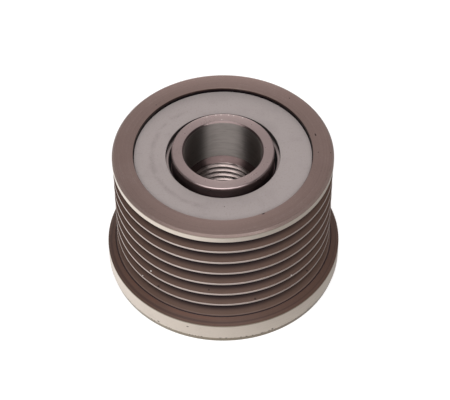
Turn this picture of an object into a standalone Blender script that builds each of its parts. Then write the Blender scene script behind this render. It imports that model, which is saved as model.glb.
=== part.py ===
"""Overrunning alternator pulley: a seven-rib belt ring on a one-way clutch with two roller bearings.

The flange side stands on Z = 0, the axis is Z, and the alternator side faces up. All sizes are in metres.
"""

import math

import bmesh
import bpy
from mathutils import Matrix, Vector

# Belt ring
BODY_HEIGHT = 0.0334
RIB_COUNT = 7
RIB_PITCH = 0.00356
FIRST_GROOVE_DEPTH_FROM_RIM = 0.00351
RING_WALL = 0.00267
CREST_WIDTH = 0.0005
GROOVE_ANGLE = math.radians(40.0)
GROOVE_FLOOR_WIDTH = 0.0008
RIM_RISE = 0.0001
RIM_CHAMFER = 0.0005
FLANGE_ROOT_RISE = 0.00035
FLANGE_RISE = 0.0022
FLANGE_FACE_DROP = 0.00139
FLANGE_FOOT_CHAMFER = 0.00035
FLANGE_FOOT_CHAMFER_HEIGHT = 0.0014

# Pocket for the dust cap, on the flange side
CAP_POCKET_DEPTH = 0.00595
CAP_POCKET_CHAMFER = 0.0005
CAP_GROOVE_DEPTH = 0.0006
CAP_GROOVE_WIDTH = 0.0013
CAP_GROOVE_HEIGHT = 0.0019
CUP_SEAT_WIDTH = 0.00082

# Cover plate in the rim recess
RECESS_STEP = 0.00125
RECESS_CHAMFER = 0.00015
PLATE_RECESS = 0.00095
PLATE_THICKNESS = 0.0012
PLATE_EYE_GAP = 0.00123
PLATE_EDGE_CHAMFER = 0.0001

# Hub sleeve
HUB_COLLAR_RADIUS = 0.01117
HUB_BODY_RADIUS = 0.0127
HUB_PROUD = 0.00048
HUB_EDGE_ROUNDING = 0.0005
HUB_FRONT_REACH = 0.00145
HUB_FRONT_CHAMFER = 0.0003
PILOT_BORE_RADIUS = 0.0085
PILOT_BORE_DEPTH = 0.0107
PILOT_CHAMFER = 0.00035
THREAD_MINOR_RADIUS = 0.00719
THREAD_LEAD_HEIGHT = 0.00117
SOCKET_DEPTH = 0.0068
SOCKET_TIP_RADIUS = 0.0085
SOCKET_TOOTH_DEPTH = 0.0007
SOCKET_TEETH = 33
SOCKET_TOOTH_SHARE = 0.42
SOCKET_CHAMFER_HEIGHT = 0.0005
RELIEF_DEPTH = 0.0003
RELIEF_HEIGHT = 0.0010
RELIEF_TAPER_HEIGHT = 0.0012

# Bearings, one on each side of the clutch
BEARING_LENGTH = 0.0062
BEARING_ROLLERS = 12
BEARING_ROLLER_DIAMETER = 0.0040
BEARING_CAGE_GAP = 0.00045
BEARING_CAGE_END_WALL = 0.00065
ROLLER_EDGE_CHAMFER = 0.00025
POCKET_SIDE_GAP = 0.00012
POCKET_END_GAP = 0.00015

# One-way clutch, in the space that the two bearings leave
CLUTCH_ROLLERS = 8
CLUTCH_ROLLER_DIAMETER = 0.0030
WEDGE_ANGLE = math.radians(7.0)
RAMP_RING_INSET = 0.0002
RAMP_SLOT_WALL = 0.00095
CLUTCH_CAGE_END_WALL = 0.00075
CLUTCH_CAGE_INNER_GAP = 0.00015
CLUTCH_CAGE_OUTER_GAP = 0.00035
CLUTCH_POCKET_STOP_GAP = 0.00034
KEY_WIDTH = 0.0016
KEY_SIDE_GAP = 0.00015
KEY_FLOOR_GAP = 0.00015
KEY_END_INSET = 0.0004
SPRING_LEAF = 0.00018
SPRING_END_GAP = 0.00075
SPRING_DEPTH = 0.0014
SPRING_FOLDS = 5
SPRING_WALL_GAP = 0.00025
SPRING_ROLLER_GAP = 0.00032

# Outer race cup and lip seals
CUP_WALL = 0.0013
CUP_CHAMFER = 0.0002
SEAL_HEIGHT = 0.0019
SEAL_CASE_WALL = 0.0006
SEAL_EYE_GAP = 0.00063
SEAL_LIP_THICKNESS = 0.0007
SEAL_LIP_TIP = 0.0002
SEAL_LIP_HEEL = 0.0009

# Clearances
PRESS_GAP = 0.0001
SEAT_GAP = 0.0001
STACK_GAP = 0.0002
RACE_GAP = 0.00003
LIP_GAP = 0.0001

# Facets
RING_SEGMENTS = 60
RACE_SEGMENTS = 36
ROLLER_SIDES = 10
EDGE_STEPS = 2
SMOOTH_ANGLE = math.radians(35.0)
MERGE_DISTANCE = 0.000001

# Radii of the rolling gap and of what seats on it
RACE_CLEAR_RADIUS = HUB_BODY_RADIUS + BEARING_ROLLER_DIAMETER + 2 * RACE_GAP
RACE_RADIUS = RACE_CLEAR_RADIUS / math.cos(math.pi / RACE_SEGMENTS)
ROLLER_PITCH_RADIUS = (HUB_BODY_RADIUS + RACE_CLEAR_RADIUS) / 2
CUP_OUTER_RADIUS = RACE_RADIUS + CUP_WALL
RING_BORE_RADIUS = CUP_OUTER_RADIUS + PRESS_GAP
CAP_POCKET_RADIUS = RING_BORE_RADIUS - CUP_SEAT_WIDTH
RECESS_RADIUS = RING_BORE_RADIUS + RECESS_STEP
SEAL_OUTER_RADIUS = RACE_RADIUS - PRESS_GAP
SEAL_EYE_RADIUS = HUB_COLLAR_RADIUS + SEAL_EYE_GAP
PLATE_EYE_RADIUS = HUB_COLLAR_RADIUS + PLATE_EYE_GAP
SOCKET_ROOT_RADIUS = SOCKET_TIP_RADIUS + SOCKET_TOOTH_DEPTH
RELIEF_RADIUS = SOCKET_ROOT_RADIUS + RELIEF_DEPTH

# Radii of the belt track, outwards from the bore of the ring
GROOVE_SLOPE = math.tan(GROOVE_ANGLE / 2)
GROOVE_DEPTH = (RIB_PITCH - CREST_WIDTH - GROOVE_FLOOR_WIDTH) / 2 / GROOVE_SLOPE
GROOVE_FLOOR_RADIUS = RING_BORE_RADIUS + RING_WALL
CREST_RADIUS = GROOVE_FLOOR_RADIUS + GROOVE_DEPTH
RIM_RADIUS = CREST_RADIUS + RIM_RISE
FLANGE_ROOT_RADIUS = CREST_RADIUS + FLANGE_ROOT_RISE
FLANGE_RADIUS = CREST_RADIUS + FLANGE_RISE

# Radii of the one-way clutch
CLUTCH_PITCH_RADIUS = RACE_CLEAR_RADIUS - RACE_GAP - CLUTCH_ROLLER_DIAMETER / 2
RAMP_HEIGHT = CLUTCH_PITCH_RADIUS * math.cos(WEDGE_ANGLE) - CLUTCH_ROLLER_DIAMETER / 2 - RACE_GAP
RAMP_BORE_RADIUS = HUB_BODY_RADIUS + PRESS_GAP
KEY_SLOT_FLOOR_RADIUS = RAMP_BORE_RADIUS + RAMP_SLOT_WALL
SECTOR_ANGLE = 2 * math.pi / CLUTCH_ROLLERS
RAMP_CORNER_RADIUS = RAMP_HEIGHT / math.cos(SECTOR_ANGLE / 2)
CLUTCH_CAGE_INNER = RAMP_CORNER_RADIUS + CLUTCH_CAGE_INNER_GAP
CLUTCH_CAGE_OUTER = RACE_CLEAR_RADIUS - CLUTCH_CAGE_OUTER_GAP
CLUTCH_ROLLER_ACROSS = CLUTCH_PITCH_RADIUS * math.sin(WEDGE_ANGLE)
CLUTCH_ROLLER_REACH = CLUTCH_ROLLER_ACROSS + CLUTCH_ROLLER_DIAMETER / 2
CLUTCH_POCKET_WIDTH = 2 * (CLUTCH_ROLLER_REACH + CLUTCH_POCKET_STOP_GAP)

# Heights of the stack, from the cover plate down and from the cap pocket up
PLATE_TOP = BODY_HEIGHT - PLATE_RECESS
PLATE_BOTTOM = PLATE_TOP - PLATE_THICKNESS
RECESS_FLOOR = PLATE_BOTTOM - SEAT_GAP
CUP_TOP = RECESS_FLOOR - SEAT_GAP
REAR_BEARING_TOP = CUP_TOP - SEAL_HEIGHT - STACK_GAP
CLUTCH_TOP = REAR_BEARING_TOP - BEARING_LENGTH - STACK_GAP
CUP_BOTTOM = CAP_POCKET_DEPTH + SEAT_GAP
FRONT_SEAL_TOP = CUP_BOTTOM + SEAL_HEIGHT
FRONT_BEARING_TOP = FRONT_SEAL_TOP + STACK_GAP + BEARING_LENGTH
CLUTCH_BOTTOM = FRONT_BEARING_TOP + STACK_GAP
CLUTCH_MIDDLE = (CLUTCH_TOP + CLUTCH_BOTTOM) / 2
HUB_TOP = BODY_HEIGHT + HUB_PROUD
HUB_FRONT = CUP_BOTTOM - HUB_FRONT_REACH
HUB_REAR_SHOULDER = CUP_TOP - SEAL_HEIGHT - STACK_GAP / 2
HUB_FRONT_SHOULDER = FRONT_SEAL_TOP + STACK_GAP / 2

# Lengths that follow the stack
BEARING_POCKET_LENGTH = BEARING_LENGTH - 2 * BEARING_CAGE_END_WALL
BEARING_ROLLER_LENGTH = BEARING_POCKET_LENGTH - 2 * POCKET_END_GAP
CLUTCH_LENGTH = CLUTCH_TOP - CLUTCH_BOTTOM
CLUTCH_POCKET_LENGTH = CLUTCH_LENGTH - 2 * CLUTCH_CAGE_END_WALL
CLUTCH_ROLLER_LENGTH = CLUTCH_POCKET_LENGTH - 2 * POCKET_END_GAP
RAMP_RING_LENGTH = CLUTCH_LENGTH - 2 * RAMP_RING_INSET
SPRING_HEIGHT = CLUTCH_POCKET_LENGTH - 2 * SPRING_END_GAP


def clear_scene():
    """Remove every object of the scene that Blender opened with."""
    for thing in list(bpy.data.objects):
        bpy.data.objects.remove(thing, do_unlink=True)


def new_collection(name):
    """Add a collection under the scene's own one."""
    collection = bpy.data.collections.new(name)
    bpy.context.scene.collection.children.link(collection)
    return collection


def new_material(name, color, roughness, metallic):
    """Make a Principled material from a colour, a roughness and a metallic value."""
    material = bpy.data.materials.new(name)
    material.use_nodes = True
    shader = material.node_tree.nodes["Principled BSDF"]
    shader.inputs["Base Color"].default_value = (*color, 1.0)
    shader.inputs["Roughness"].default_value = roughness
    shader.inputs["Metallic"].default_value = metallic
    material.diffuse_color = (*color, 1.0)
    return material


def add_object(name, data, collection, material=None, parent=None):
    """Link an object that shows the data, with its material and its parent."""
    thing = bpy.data.objects.new(name, data)
    collection.objects.link(thing)
    if material is not None and not data.materials:
        data.materials.append(material)
    thing.parent = parent
    return thing


def add_frame(name, collection, parent=None):
    """Add an empty on the axis, which carries the pieces that turn together."""
    frame = add_object(name, None, collection, parent=parent)
    frame.empty_display_size = HUB_COLLAR_RADIUS
    return frame


def mesh_from(name, form):
    """Turn a bmesh into mesh data with smooth faces and sharp edges."""
    data = bpy.data.meshes.new(name)
    form.to_mesh(data)
    form.free()
    data.shade_smooth()
    data.set_sharp_from_angle(angle=SMOOTH_ANGLE)
    return data


def outer_side_down(profile):
    """Order a closed profile so that it runs down its outer side and up its inner side."""
    area = 0.0
    for (r_a, z_a), (r_b, z_b) in zip(profile, profile[1:] + profile[:1]):
        area += r_a * z_b - r_b * z_a
    return profile if area < 0 else profile[::-1]


def turned(name, profile, segments, collection, material, parent):
    """Turn a closed profile of (radius, height) points about Z with a Screw modifier."""
    data = bpy.data.meshes.new(name)
    points = [(radius, 0.0, height) for radius, height in outer_side_down(profile)]
    edges = [(i, (i + 1) % len(points)) for i in range(len(points))]
    data.from_pydata(points, edges, [])
    thing = add_object(name, data, collection, material, parent)
    screw = thing.modifiers.new("Turning", "SCREW")
    screw.axis = "Z"
    screw.angle = 2 * math.pi
    screw.steps = segments
    screw.render_steps = segments
    screw.use_merge_vertices = True
    screw.merge_threshold = MERGE_DISTANCE
    screw.use_smooth_shade = True
    return thing


def rounded_corner(radius, height, rounding):
    """Points of a quarter round at an outer top corner, from its face to its side."""
    points = []
    for step in range(EDGE_STEPS + 1):
        turn = 0.5 * math.pi * step / EDGE_STEPS
        across = radius - rounding + rounding * math.sin(turn)
        points.append((across, height - rounding + rounding * math.cos(turn)))
    return points


def cut(thing, cutter, operation="DIFFERENCE"):
    """Put a Boolean modifier on an object."""
    boolean = thing.modifiers.new(cutter.name, "BOOLEAN")
    boolean.object = cutter
    boolean.operation = operation
    boolean.solver = "EXACT"


def as_cutter(thing):
    """Hide a cutter from renders and show it as wire."""
    thing.hide_render = True
    thing.display_type = "WIRE"
    return thing


def outline_curve(name, outlines, thickness):
    """A flat 2D curve with one closed poly spline for each outline, as thick as given."""
    curve = bpy.data.curves.new(name, "CURVE")
    curve.dimensions = "2D"
    curve.fill_mode = "BOTH"
    curve.extrude = thickness / 2
    for outline in outlines:
        spline = curve.splines.new("POLY")
        spline.points.add(len(outline) - 1)
        for point, (x, y) in zip(spline.points, outline):
            point.co = (x, y, 0.0, 1.0)
        spline.use_cyclic_u = True
    return curve


def mesh_of_curve(thing):
    """Replace a curve object by a closed mesh object of the same name, and return it."""
    name = thing.name
    collection = thing.users_collection[0]
    graph = bpy.context.evaluated_depsgraph_get()
    data = bpy.data.meshes.new_from_object(thing.evaluated_get(graph))
    form = bmesh.new()
    form.from_mesh(data)
    bmesh.ops.remove_doubles(form, verts=form.verts, dist=MERGE_DISTANCE)
    form.to_mesh(data)
    form.free()
    place = thing.matrix_world.copy()
    bpy.data.objects.remove(thing, do_unlink=True)
    solid = bpy.data.objects.new(name, data)
    collection.objects.link(solid)
    solid.matrix_world = place
    return solid


def circle(radius, count):
    """Points around a circle in the XY plane."""
    return [
        (radius * math.cos(2 * math.pi * i / count), radius * math.sin(2 * math.pi * i / count))
        for i in range(count)
    ]


def polar(radius, angle, height=0.0):
    """A point at a radius and an angle about the axis."""
    return Vector((radius * math.cos(angle), radius * math.sin(angle), height))


def boxes_around(name, count, start, radius, size, height, collection):
    """One cutter of boxes around the axis, each with its first side along the radius."""
    form = bmesh.new()
    for i in range(count):
        angle = start + 2 * math.pi * i / count
        place = Matrix.Translation(polar(radius, angle, height)) @ Matrix.Rotation(angle, 4, "Z")
        bmesh.ops.create_cube(form, size=1.0, matrix=place @ Matrix.Diagonal((*size, 1.0)))
    data = bpy.data.meshes.new(name)
    form.to_mesh(data)
    form.free()
    return as_cutter(add_object(name, data, collection))


def groove_profile():
    """Outer profile of the seven V-grooves, from the rim land down to the flange root."""
    half_mouth = (RIB_PITCH - CREST_WIDTH) / 2
    half_floor = GROOVE_FLOOR_WIDTH / 2
    points = []
    for groove in range(RIB_COUNT):
        middle = BODY_HEIGHT - FIRST_GROOVE_DEPTH_FROM_RIM - groove * RIB_PITCH
        upper_radius = RIM_RADIUS if groove == 0 else CREST_RADIUS
        lower_radius = FLANGE_ROOT_RADIUS if groove == RIB_COUNT - 1 else CREST_RADIUS
        upper = half_mouth + (upper_radius - CREST_RADIUS) * GROOVE_SLOPE
        lower = half_mouth + (lower_radius - CREST_RADIUS) * GROOVE_SLOPE
        points.append((upper_radius, middle + upper))
        points.append((GROOVE_FLOOR_RADIUS, middle + half_floor))
        points.append((GROOVE_FLOOR_RADIUS, middle - half_floor))
        points.append((lower_radius, middle - lower))
    return points


def make_pulley_ring(collection, material, parent):
    """The belt ring: rim land, grooves, flange, cap pocket, race bore and plate recess."""
    groove_top = CAP_GROOVE_HEIGHT + CAP_GROOVE_WIDTH
    outside = [(RIM_RADIUS - RIM_CHAMFER, BODY_HEIGHT), (RIM_RADIUS, BODY_HEIGHT - RIM_CHAMFER)]
    grooves = groove_profile()
    flange = [
        (FLANGE_RADIUS, grooves[-1][1] - FLANGE_FACE_DROP),
        (FLANGE_RADIUS, FLANGE_FOOT_CHAMFER_HEIGHT),
        (FLANGE_RADIUS - FLANGE_FOOT_CHAMFER, 0.0),
    ]
    pocket = [
        (CAP_POCKET_RADIUS + CAP_POCKET_CHAMFER, 0.0),
        (CAP_POCKET_RADIUS, CAP_POCKET_CHAMFER),
        (CAP_POCKET_RADIUS, CAP_GROOVE_HEIGHT),
        (CAP_POCKET_RADIUS + CAP_GROOVE_DEPTH, CAP_GROOVE_HEIGHT),
        (CAP_POCKET_RADIUS + CAP_GROOVE_DEPTH, groove_top),
        (CAP_POCKET_RADIUS, groove_top),
        (CAP_POCKET_RADIUS, CAP_POCKET_DEPTH),
    ]
    bore = [
        (RING_BORE_RADIUS, CAP_POCKET_DEPTH),
        (RING_BORE_RADIUS, RECESS_FLOOR),
        (RECESS_RADIUS, RECESS_FLOOR),
        (RECESS_RADIUS, BODY_HEIGHT - RECESS_CHAMFER),
        (RECESS_RADIUS + RECESS_CHAMFER, BODY_HEIGHT),
    ]
    profile = outside + grooves + flange + pocket + bore
    return turned("pulley_ring", profile, RING_SEGMENTS, collection, material, parent)


def make_cover_plate(collection, material, parent):
    """The grey disc pressed into the recess of the rim face, around the hub."""
    outer = RECESS_RADIUS - PRESS_GAP
    edge = PLATE_EDGE_CHAMFER
    profile = [
        (outer - edge, PLATE_TOP),
        (outer, PLATE_TOP - edge),
        (outer, PLATE_BOTTOM),
        (PLATE_EYE_RADIUS, PLATE_BOTTOM),
        (PLATE_EYE_RADIUS, PLATE_TOP - edge),
        (PLATE_EYE_RADIUS + edge, PLATE_TOP),
    ]
    return turned("rear_cover_plate", profile, RACE_SEGMENTS, collection, material, parent)


def make_clutch_cup(collection, material, parent):
    """The hardened sleeve in the ring's bore, on which all rollers run."""
    profile = [
        (CUP_OUTER_RADIUS - CUP_CHAMFER, CUP_TOP),
        (CUP_OUTER_RADIUS, CUP_TOP - CUP_CHAMFER),
        (CUP_OUTER_RADIUS, CUP_BOTTOM + CUP_CHAMFER),
        (CUP_OUTER_RADIUS - CUP_CHAMFER, CUP_BOTTOM),
        (RACE_RADIUS + CUP_CHAMFER, CUP_BOTTOM),
        (RACE_RADIUS, CUP_BOTTOM + CUP_CHAMFER),
        (RACE_RADIUS, CUP_TOP - CUP_CHAMFER),
        (RACE_RADIUS + CUP_CHAMFER, CUP_TOP),
    ]
    return turned("clutch_cup", profile, RACE_SEGMENTS, collection, material, parent)


def make_seal(side, face, inward, collection, steel, rubber, parent):
    """A pressed steel case and its rubber lip, measured from the seal's outer face inwards."""
    inner_wall = SEAL_OUTER_RADIUS - SEAL_CASE_WALL
    case = [
        (SEAL_OUTER_RADIUS, 0.0),
        (SEAL_OUTER_RADIUS, SEAL_HEIGHT),
        (inner_wall, SEAL_HEIGHT),
        (inner_wall, SEAL_CASE_WALL),
        (SEAL_EYE_RADIUS, SEAL_CASE_WALL),
        (SEAL_EYE_RADIUS, 0.0),
    ]
    bond = SEAL_CASE_WALL + SEAT_GAP
    body = bond + SEAL_LIP_THICKNESS
    tip = HUB_COLLAR_RADIUS + LIP_GAP
    lip = [
        (inner_wall - PRESS_GAP, bond),
        (inner_wall - PRESS_GAP, body),
        (SEAL_EYE_RADIUS + SEAL_LIP_HEEL, body),
        (tip + SEAL_LIP_TIP, SEAL_HEIGHT),
        (tip, SEAL_HEIGHT - SEAL_LIP_TIP),
        (SEAL_EYE_RADIUS, bond),
    ]
    case = [(radius, face + inward * depth) for radius, depth in case]
    lip = [(radius, face + inward * depth) for radius, depth in lip]
    turned(side + "_seal_case", case, RACE_SEGMENTS, collection, steel, parent)
    turned(side + "_seal_lip", lip, RACE_SEGMENTS, collection, rubber, parent)


def serration_outline():
    """Star outline of the serrated tool socket, with its inner points inside the bore."""
    pitch = 2 * math.pi / SOCKET_TEETH
    inside = SOCKET_TIP_RADIUS - (SOCKET_ROOT_RADIUS - SOCKET_TIP_RADIUS) / 2
    half_tooth = pitch * SOCKET_TOOTH_SHARE / 2
    half_root = pitch * (1 - SOCKET_TOOTH_SHARE) / 4
    points = []
    for tooth in range(SOCKET_TEETH):
        angle = tooth * pitch
        corners = [
            (inside, angle + half_tooth / 2),
            (SOCKET_ROOT_RADIUS, angle + pitch / 2 - half_root),
            (SOCKET_ROOT_RADIUS, angle + pitch / 2 + half_root),
            (inside, angle + pitch - half_tooth / 2),
        ]
        points.extend(polar(radius, turn).xy for radius, turn in corners)
    return [tuple(point) for point in points]


def make_hub_sleeve(collection, cutters, material, parent):
    """The sleeve on the alternator shaft: pilot bore, thread core, relief and serrated socket."""
    front = HUB_FRONT
    socket_end = front + SOCKET_DEPTH
    relief_start = socket_end - RELIEF_HEIGHT
    thread_start = socket_end + RELIEF_TAPER_HEIGHT
    shoulder = HUB_TOP - PILOT_BORE_DEPTH
    outside = rounded_corner(HUB_COLLAR_RADIUS, HUB_TOP, HUB_EDGE_ROUNDING)
    outside += [
        (HUB_COLLAR_RADIUS, HUB_REAR_SHOULDER),
        (HUB_BODY_RADIUS, HUB_REAR_SHOULDER),
        (HUB_BODY_RADIUS, HUB_FRONT_SHOULDER),
        (HUB_COLLAR_RADIUS, HUB_FRONT_SHOULDER),
        (HUB_COLLAR_RADIUS, front + HUB_FRONT_CHAMFER),
        (HUB_COLLAR_RADIUS - HUB_FRONT_CHAMFER, front),
    ]
    inside = [
        (SOCKET_ROOT_RADIUS, front),
        (SOCKET_TIP_RADIUS, front + SOCKET_CHAMFER_HEIGHT),
        (SOCKET_TIP_RADIUS, relief_start),
        (RELIEF_RADIUS, relief_start),
        (RELIEF_RADIUS, socket_end),
        (THREAD_MINOR_RADIUS, thread_start),
        (THREAD_MINOR_RADIUS, shoulder - THREAD_LEAD_HEIGHT),
        (PILOT_BORE_RADIUS, shoulder),
        (PILOT_BORE_RADIUS, HUB_TOP - PILOT_CHAMFER),
        (PILOT_BORE_RADIUS + PILOT_CHAMFER, HUB_TOP),
    ]
    hub = turned("hub_sleeve", outside + inside, RACE_SEGMENTS, collection, material, parent)
    below = front - RELIEF_HEIGHT
    above = (relief_start + socket_end) / 2
    curve = outline_curve("socket_serration", [serration_outline()], above - below)
    cutter = add_object("socket_serration", curve, cutters)
    cutter.location = (0.0, 0.0, (above + below) / 2)
    bpy.context.view_layer.update()
    cut(hub, as_cutter(mesh_of_curve(cutter)))
    return hub


def roller_mesh(name, diameter, length):
    """A roller along Z with chamfered ends, centred on its origin."""
    form = bmesh.new()
    bmesh.ops.create_cone(
        form,
        cap_ends=True,
        segments=ROLLER_SIDES,
        radius1=diameter / 2,
        radius2=diameter / 2,
        depth=length,
    )
    rims = [edge for edge in form.edges if abs(edge.verts[0].co.z - edge.verts[1].co.z) < length / 2]
    bmesh.ops.bevel(form, geom=rims, offset=ROLLER_EDGE_CHAMFER, segments=1, affect="EDGES")
    return mesh_from(name, form)


def make_bearing(side, top, collection, cutters, cage_material, roller_material, parent):
    """One support bearing: a cage with a pocket for each roller, and its rollers."""
    middle = top - BEARING_LENGTH / 2
    inner = HUB_BODY_RADIUS + BEARING_CAGE_GAP
    outer = RACE_CLEAR_RADIUS - BEARING_CAGE_GAP
    bottom = top - BEARING_LENGTH
    profile = [(outer, top), (outer, bottom), (inner, bottom), (inner, top)]
    name = side + "_bearing_cage"
    cage = turned(name, profile, RACE_SEGMENTS, collection, cage_material, parent)
    pocket = (
        2 * (outer - inner),
        BEARING_ROLLER_DIAMETER + 2 * POCKET_SIDE_GAP,
        BEARING_POCKET_LENGTH,
    )
    count = BEARING_ROLLERS
    radius = ROLLER_PITCH_RADIUS
    cut(cage, boxes_around(side + "_pockets", count, 0.0, radius, pocket, middle, cutters))
    shape = roller_mesh(side + "_roller", BEARING_ROLLER_DIAMETER, BEARING_ROLLER_LENGTH)
    for i in range(count):
        label = f"{side}_roller_{i + 1:02d}"
        roller = add_object(label, shape, collection, roller_material, parent)
        roller.location = polar(radius, 2 * math.pi * i / count, middle)


def ramp_outline():
    """Outside of the ramp ring: a flat ramp for each roller, with a key slot between ramps."""
    half_slot = KEY_WIDTH / 2 + KEY_SIDE_GAP
    half = SECTOR_ANGLE / 2
    mouth = (RAMP_HEIGHT - half_slot * math.sin(half)) / math.cos(half)
    corners = [
        (mouth, -half_slot),
        (KEY_SLOT_FLOOR_RADIUS, -half_slot),
        (KEY_SLOT_FLOOR_RADIUS, half_slot),
        (mouth, half_slot),
    ]
    points = []
    for sector in range(CLUTCH_ROLLERS):
        angle = sector * SECTOR_ANGLE + half
        for outward, across in corners:
            x = outward * math.cos(angle) - across * math.sin(angle)
            y = outward * math.sin(angle) + across * math.cos(angle)
            points.append((x, y))
    return points


def spring_mesh(name):
    """A folded leaf spring as an open strip, drawn in the sector that starts at +X."""
    roller_side = CLUTCH_ROLLER_ACROSS - CLUTCH_ROLLER_DIAMETER / 2
    start = -CLUTCH_POCKET_WIDTH / 2 + SPRING_WALL_GAP + SPRING_LEAF / 2
    end = roller_side - SPRING_ROLLER_GAP - SPRING_LEAF / 2
    middle = (CLUTCH_CAGE_INNER + CLUTCH_CAGE_OUTER) / 2 - SPRING_LEAF
    form = bmesh.new()
    row = []
    for fold in range(SPRING_FOLDS + 1):
        side = 1 if fold % 2 == 0 else -1
        radial = middle + side * SPRING_DEPTH / 2
        across = start + (end - start) * fold / SPRING_FOLDS
        low = form.verts.new((radial, across, -SPRING_HEIGHT / 2))
        high = form.verts.new((radial, across, SPRING_HEIGHT / 2))
        row.append((low, high))
    for (low_a, high_a), (low_b, high_b) in zip(row, row[1:]):
        form.faces.new((low_a, low_b, high_b, high_a))
    return mesh_from(name, form)


def make_clutch(collection, cutters, materials, hub, carrier):
    """The one-way clutch: ramp ring, cage, rollers on their ramps and folded leaf springs."""
    middle = CLUTCH_MIDDLE
    outlines = [ramp_outline(), circle(RAMP_BORE_RADIUS, RACE_SEGMENTS)]
    curve = outline_curve("ramp_ring", outlines, RAMP_RING_LENGTH)
    ramps = add_object("ramp_ring", curve, collection, materials["hardened_steel"], hub)
    ramps.location = (0.0, 0.0, middle)

    profile = [
        (CLUTCH_CAGE_OUTER, CLUTCH_TOP),
        (CLUTCH_CAGE_OUTER, CLUTCH_BOTTOM),
        (CLUTCH_CAGE_INNER, CLUTCH_BOTTOM),
        (CLUTCH_CAGE_INNER, CLUTCH_TOP),
    ]
    cage = turned("clutch_cage", profile, RACE_SEGMENTS, collection, materials["polymer"], hub)
    half = SECTOR_ANGLE / 2
    key_foot = KEY_SLOT_FLOOR_RADIUS + KEY_FLOOR_GAP
    key_head = (CLUTCH_CAGE_INNER + CLUTCH_CAGE_OUTER) / 2
    key = (key_head - key_foot, KEY_WIDTH, CLUTCH_LENGTH - 2 * KEY_END_INSET)
    key_middle = (key_foot + key_head) / 2
    keys = boxes_around("cage_keys", CLUTCH_ROLLERS, half, key_middle, key, middle, cutters)
    cut(cage, keys, "UNION")
    pocket = (
        4 * (CLUTCH_CAGE_OUTER - CLUTCH_CAGE_INNER),
        CLUTCH_POCKET_WIDTH,
        CLUTCH_POCKET_LENGTH,
    )
    where = CLUTCH_PITCH_RADIUS
    cut(cage, boxes_around("clutch_pockets", CLUTCH_ROLLERS, 0.0, where, pocket, middle, cutters))

    roller = roller_mesh("clutch_roller", CLUTCH_ROLLER_DIAMETER, CLUTCH_ROLLER_LENGTH)
    leaf = spring_mesh("clutch_spring")
    for i in range(CLUTCH_ROLLERS):
        angle = i * SECTOR_ANGLE
        label = f"clutch_roller_{i + 1:02d}"
        piece = add_object(label, roller, collection, materials["roller_steel"], carrier)
        piece.location = polar(CLUTCH_PITCH_RADIUS, angle + WEDGE_ANGLE, middle)
        label = f"clutch_spring_{i + 1:02d}"
        spring = add_object(label, leaf, collection, materials["spring_steel"], hub)
        spring.location = (0.0, 0.0, middle)
        spring.rotation_euler = (0.0, 0.0, angle)
        shell = spring.modifiers.new("Leaf thickness", "SOLIDIFY")
        shell.thickness = SPRING_LEAF
        shell.offset = 0.0
        shell.use_even_offset = True


def make_materials():
    """The finishes of the pieces, as the photo shows them."""
    return {
        "coated_steel": new_material("coated_steel", (0.21, 0.16, 0.14), 0.45, 0.8),
        "plate_steel": new_material("plate_steel", (0.36, 0.32, 0.31), 0.6, 0.5),
        "hub_steel": new_material("hub_steel", (0.33, 0.27, 0.25), 0.4, 0.9),
        "hardened_steel": new_material("hardened_steel", (0.50, 0.49, 0.48), 0.3, 1.0),
        "roller_steel": new_material("roller_steel", (0.62, 0.62, 0.62), 0.15, 1.0),
        "spring_steel": new_material("spring_steel", (0.45, 0.43, 0.38), 0.25, 1.0),
        "seal_steel": new_material("seal_steel", (0.55, 0.52, 0.50), 0.3, 1.0),
        "rubber": new_material("rubber", (0.03, 0.03, 0.03), 0.7, 0.0),
        "polymer": new_material("polymer", (0.09, 0.08, 0.07), 0.55, 0.0),
    }


def main():
    """Build every piece of the pulley."""
    clear_scene()
    parts = new_collection("alternator_pulley")
    cutters = new_collection("cutters")
    materials = make_materials()
    hub = add_frame("hub_frame", parts)
    ring = add_frame("pulley_frame", parts, hub)
    rear = add_frame("rear_cage_frame", parts, hub)
    front = add_frame("front_cage_frame", parts, hub)
    carrier = add_frame("clutch_roller_frame", parts, hub)

    make_hub_sleeve(parts, cutters, materials["hub_steel"], hub)
    make_clutch(parts, cutters, materials, hub, carrier)

    make_pulley_ring(parts, materials["coated_steel"], ring)
    make_clutch_cup(parts, materials["hardened_steel"], ring)
    make_cover_plate(parts, materials["plate_steel"], ring)
    make_seal("rear", CUP_TOP, -1, parts, materials["seal_steel"], materials["rubber"], ring)
    make_seal("front", CUP_BOTTOM, 1, parts, materials["seal_steel"], materials["rubber"], ring)

    polymer = materials["polymer"]
    steel = materials["roller_steel"]
    make_bearing("rear", REAR_BEARING_TOP, parts, cutters, polymer, steel, rear)
    make_bearing("front", FRONT_BEARING_TOP, parts, cutters, polymer, steel, front)


main()
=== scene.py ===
"""The looks of an overrunning alternator pulley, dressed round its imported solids.

Lengths are in metres, the shaft axis is Z and the flange side stands on Z = 0. Each sub-assembly is a class
that holds its sizes, builds its meshes and dresses them; each finish is a frozen dataclass.
"""

import logging
import math
from dataclasses import dataclass, field
from enum import Enum
from functools import partialmethod, reduce
from typing import NamedTuple

import bmesh
import bpy
import numpy as np
from mathutils import Matrix, Vector


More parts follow.
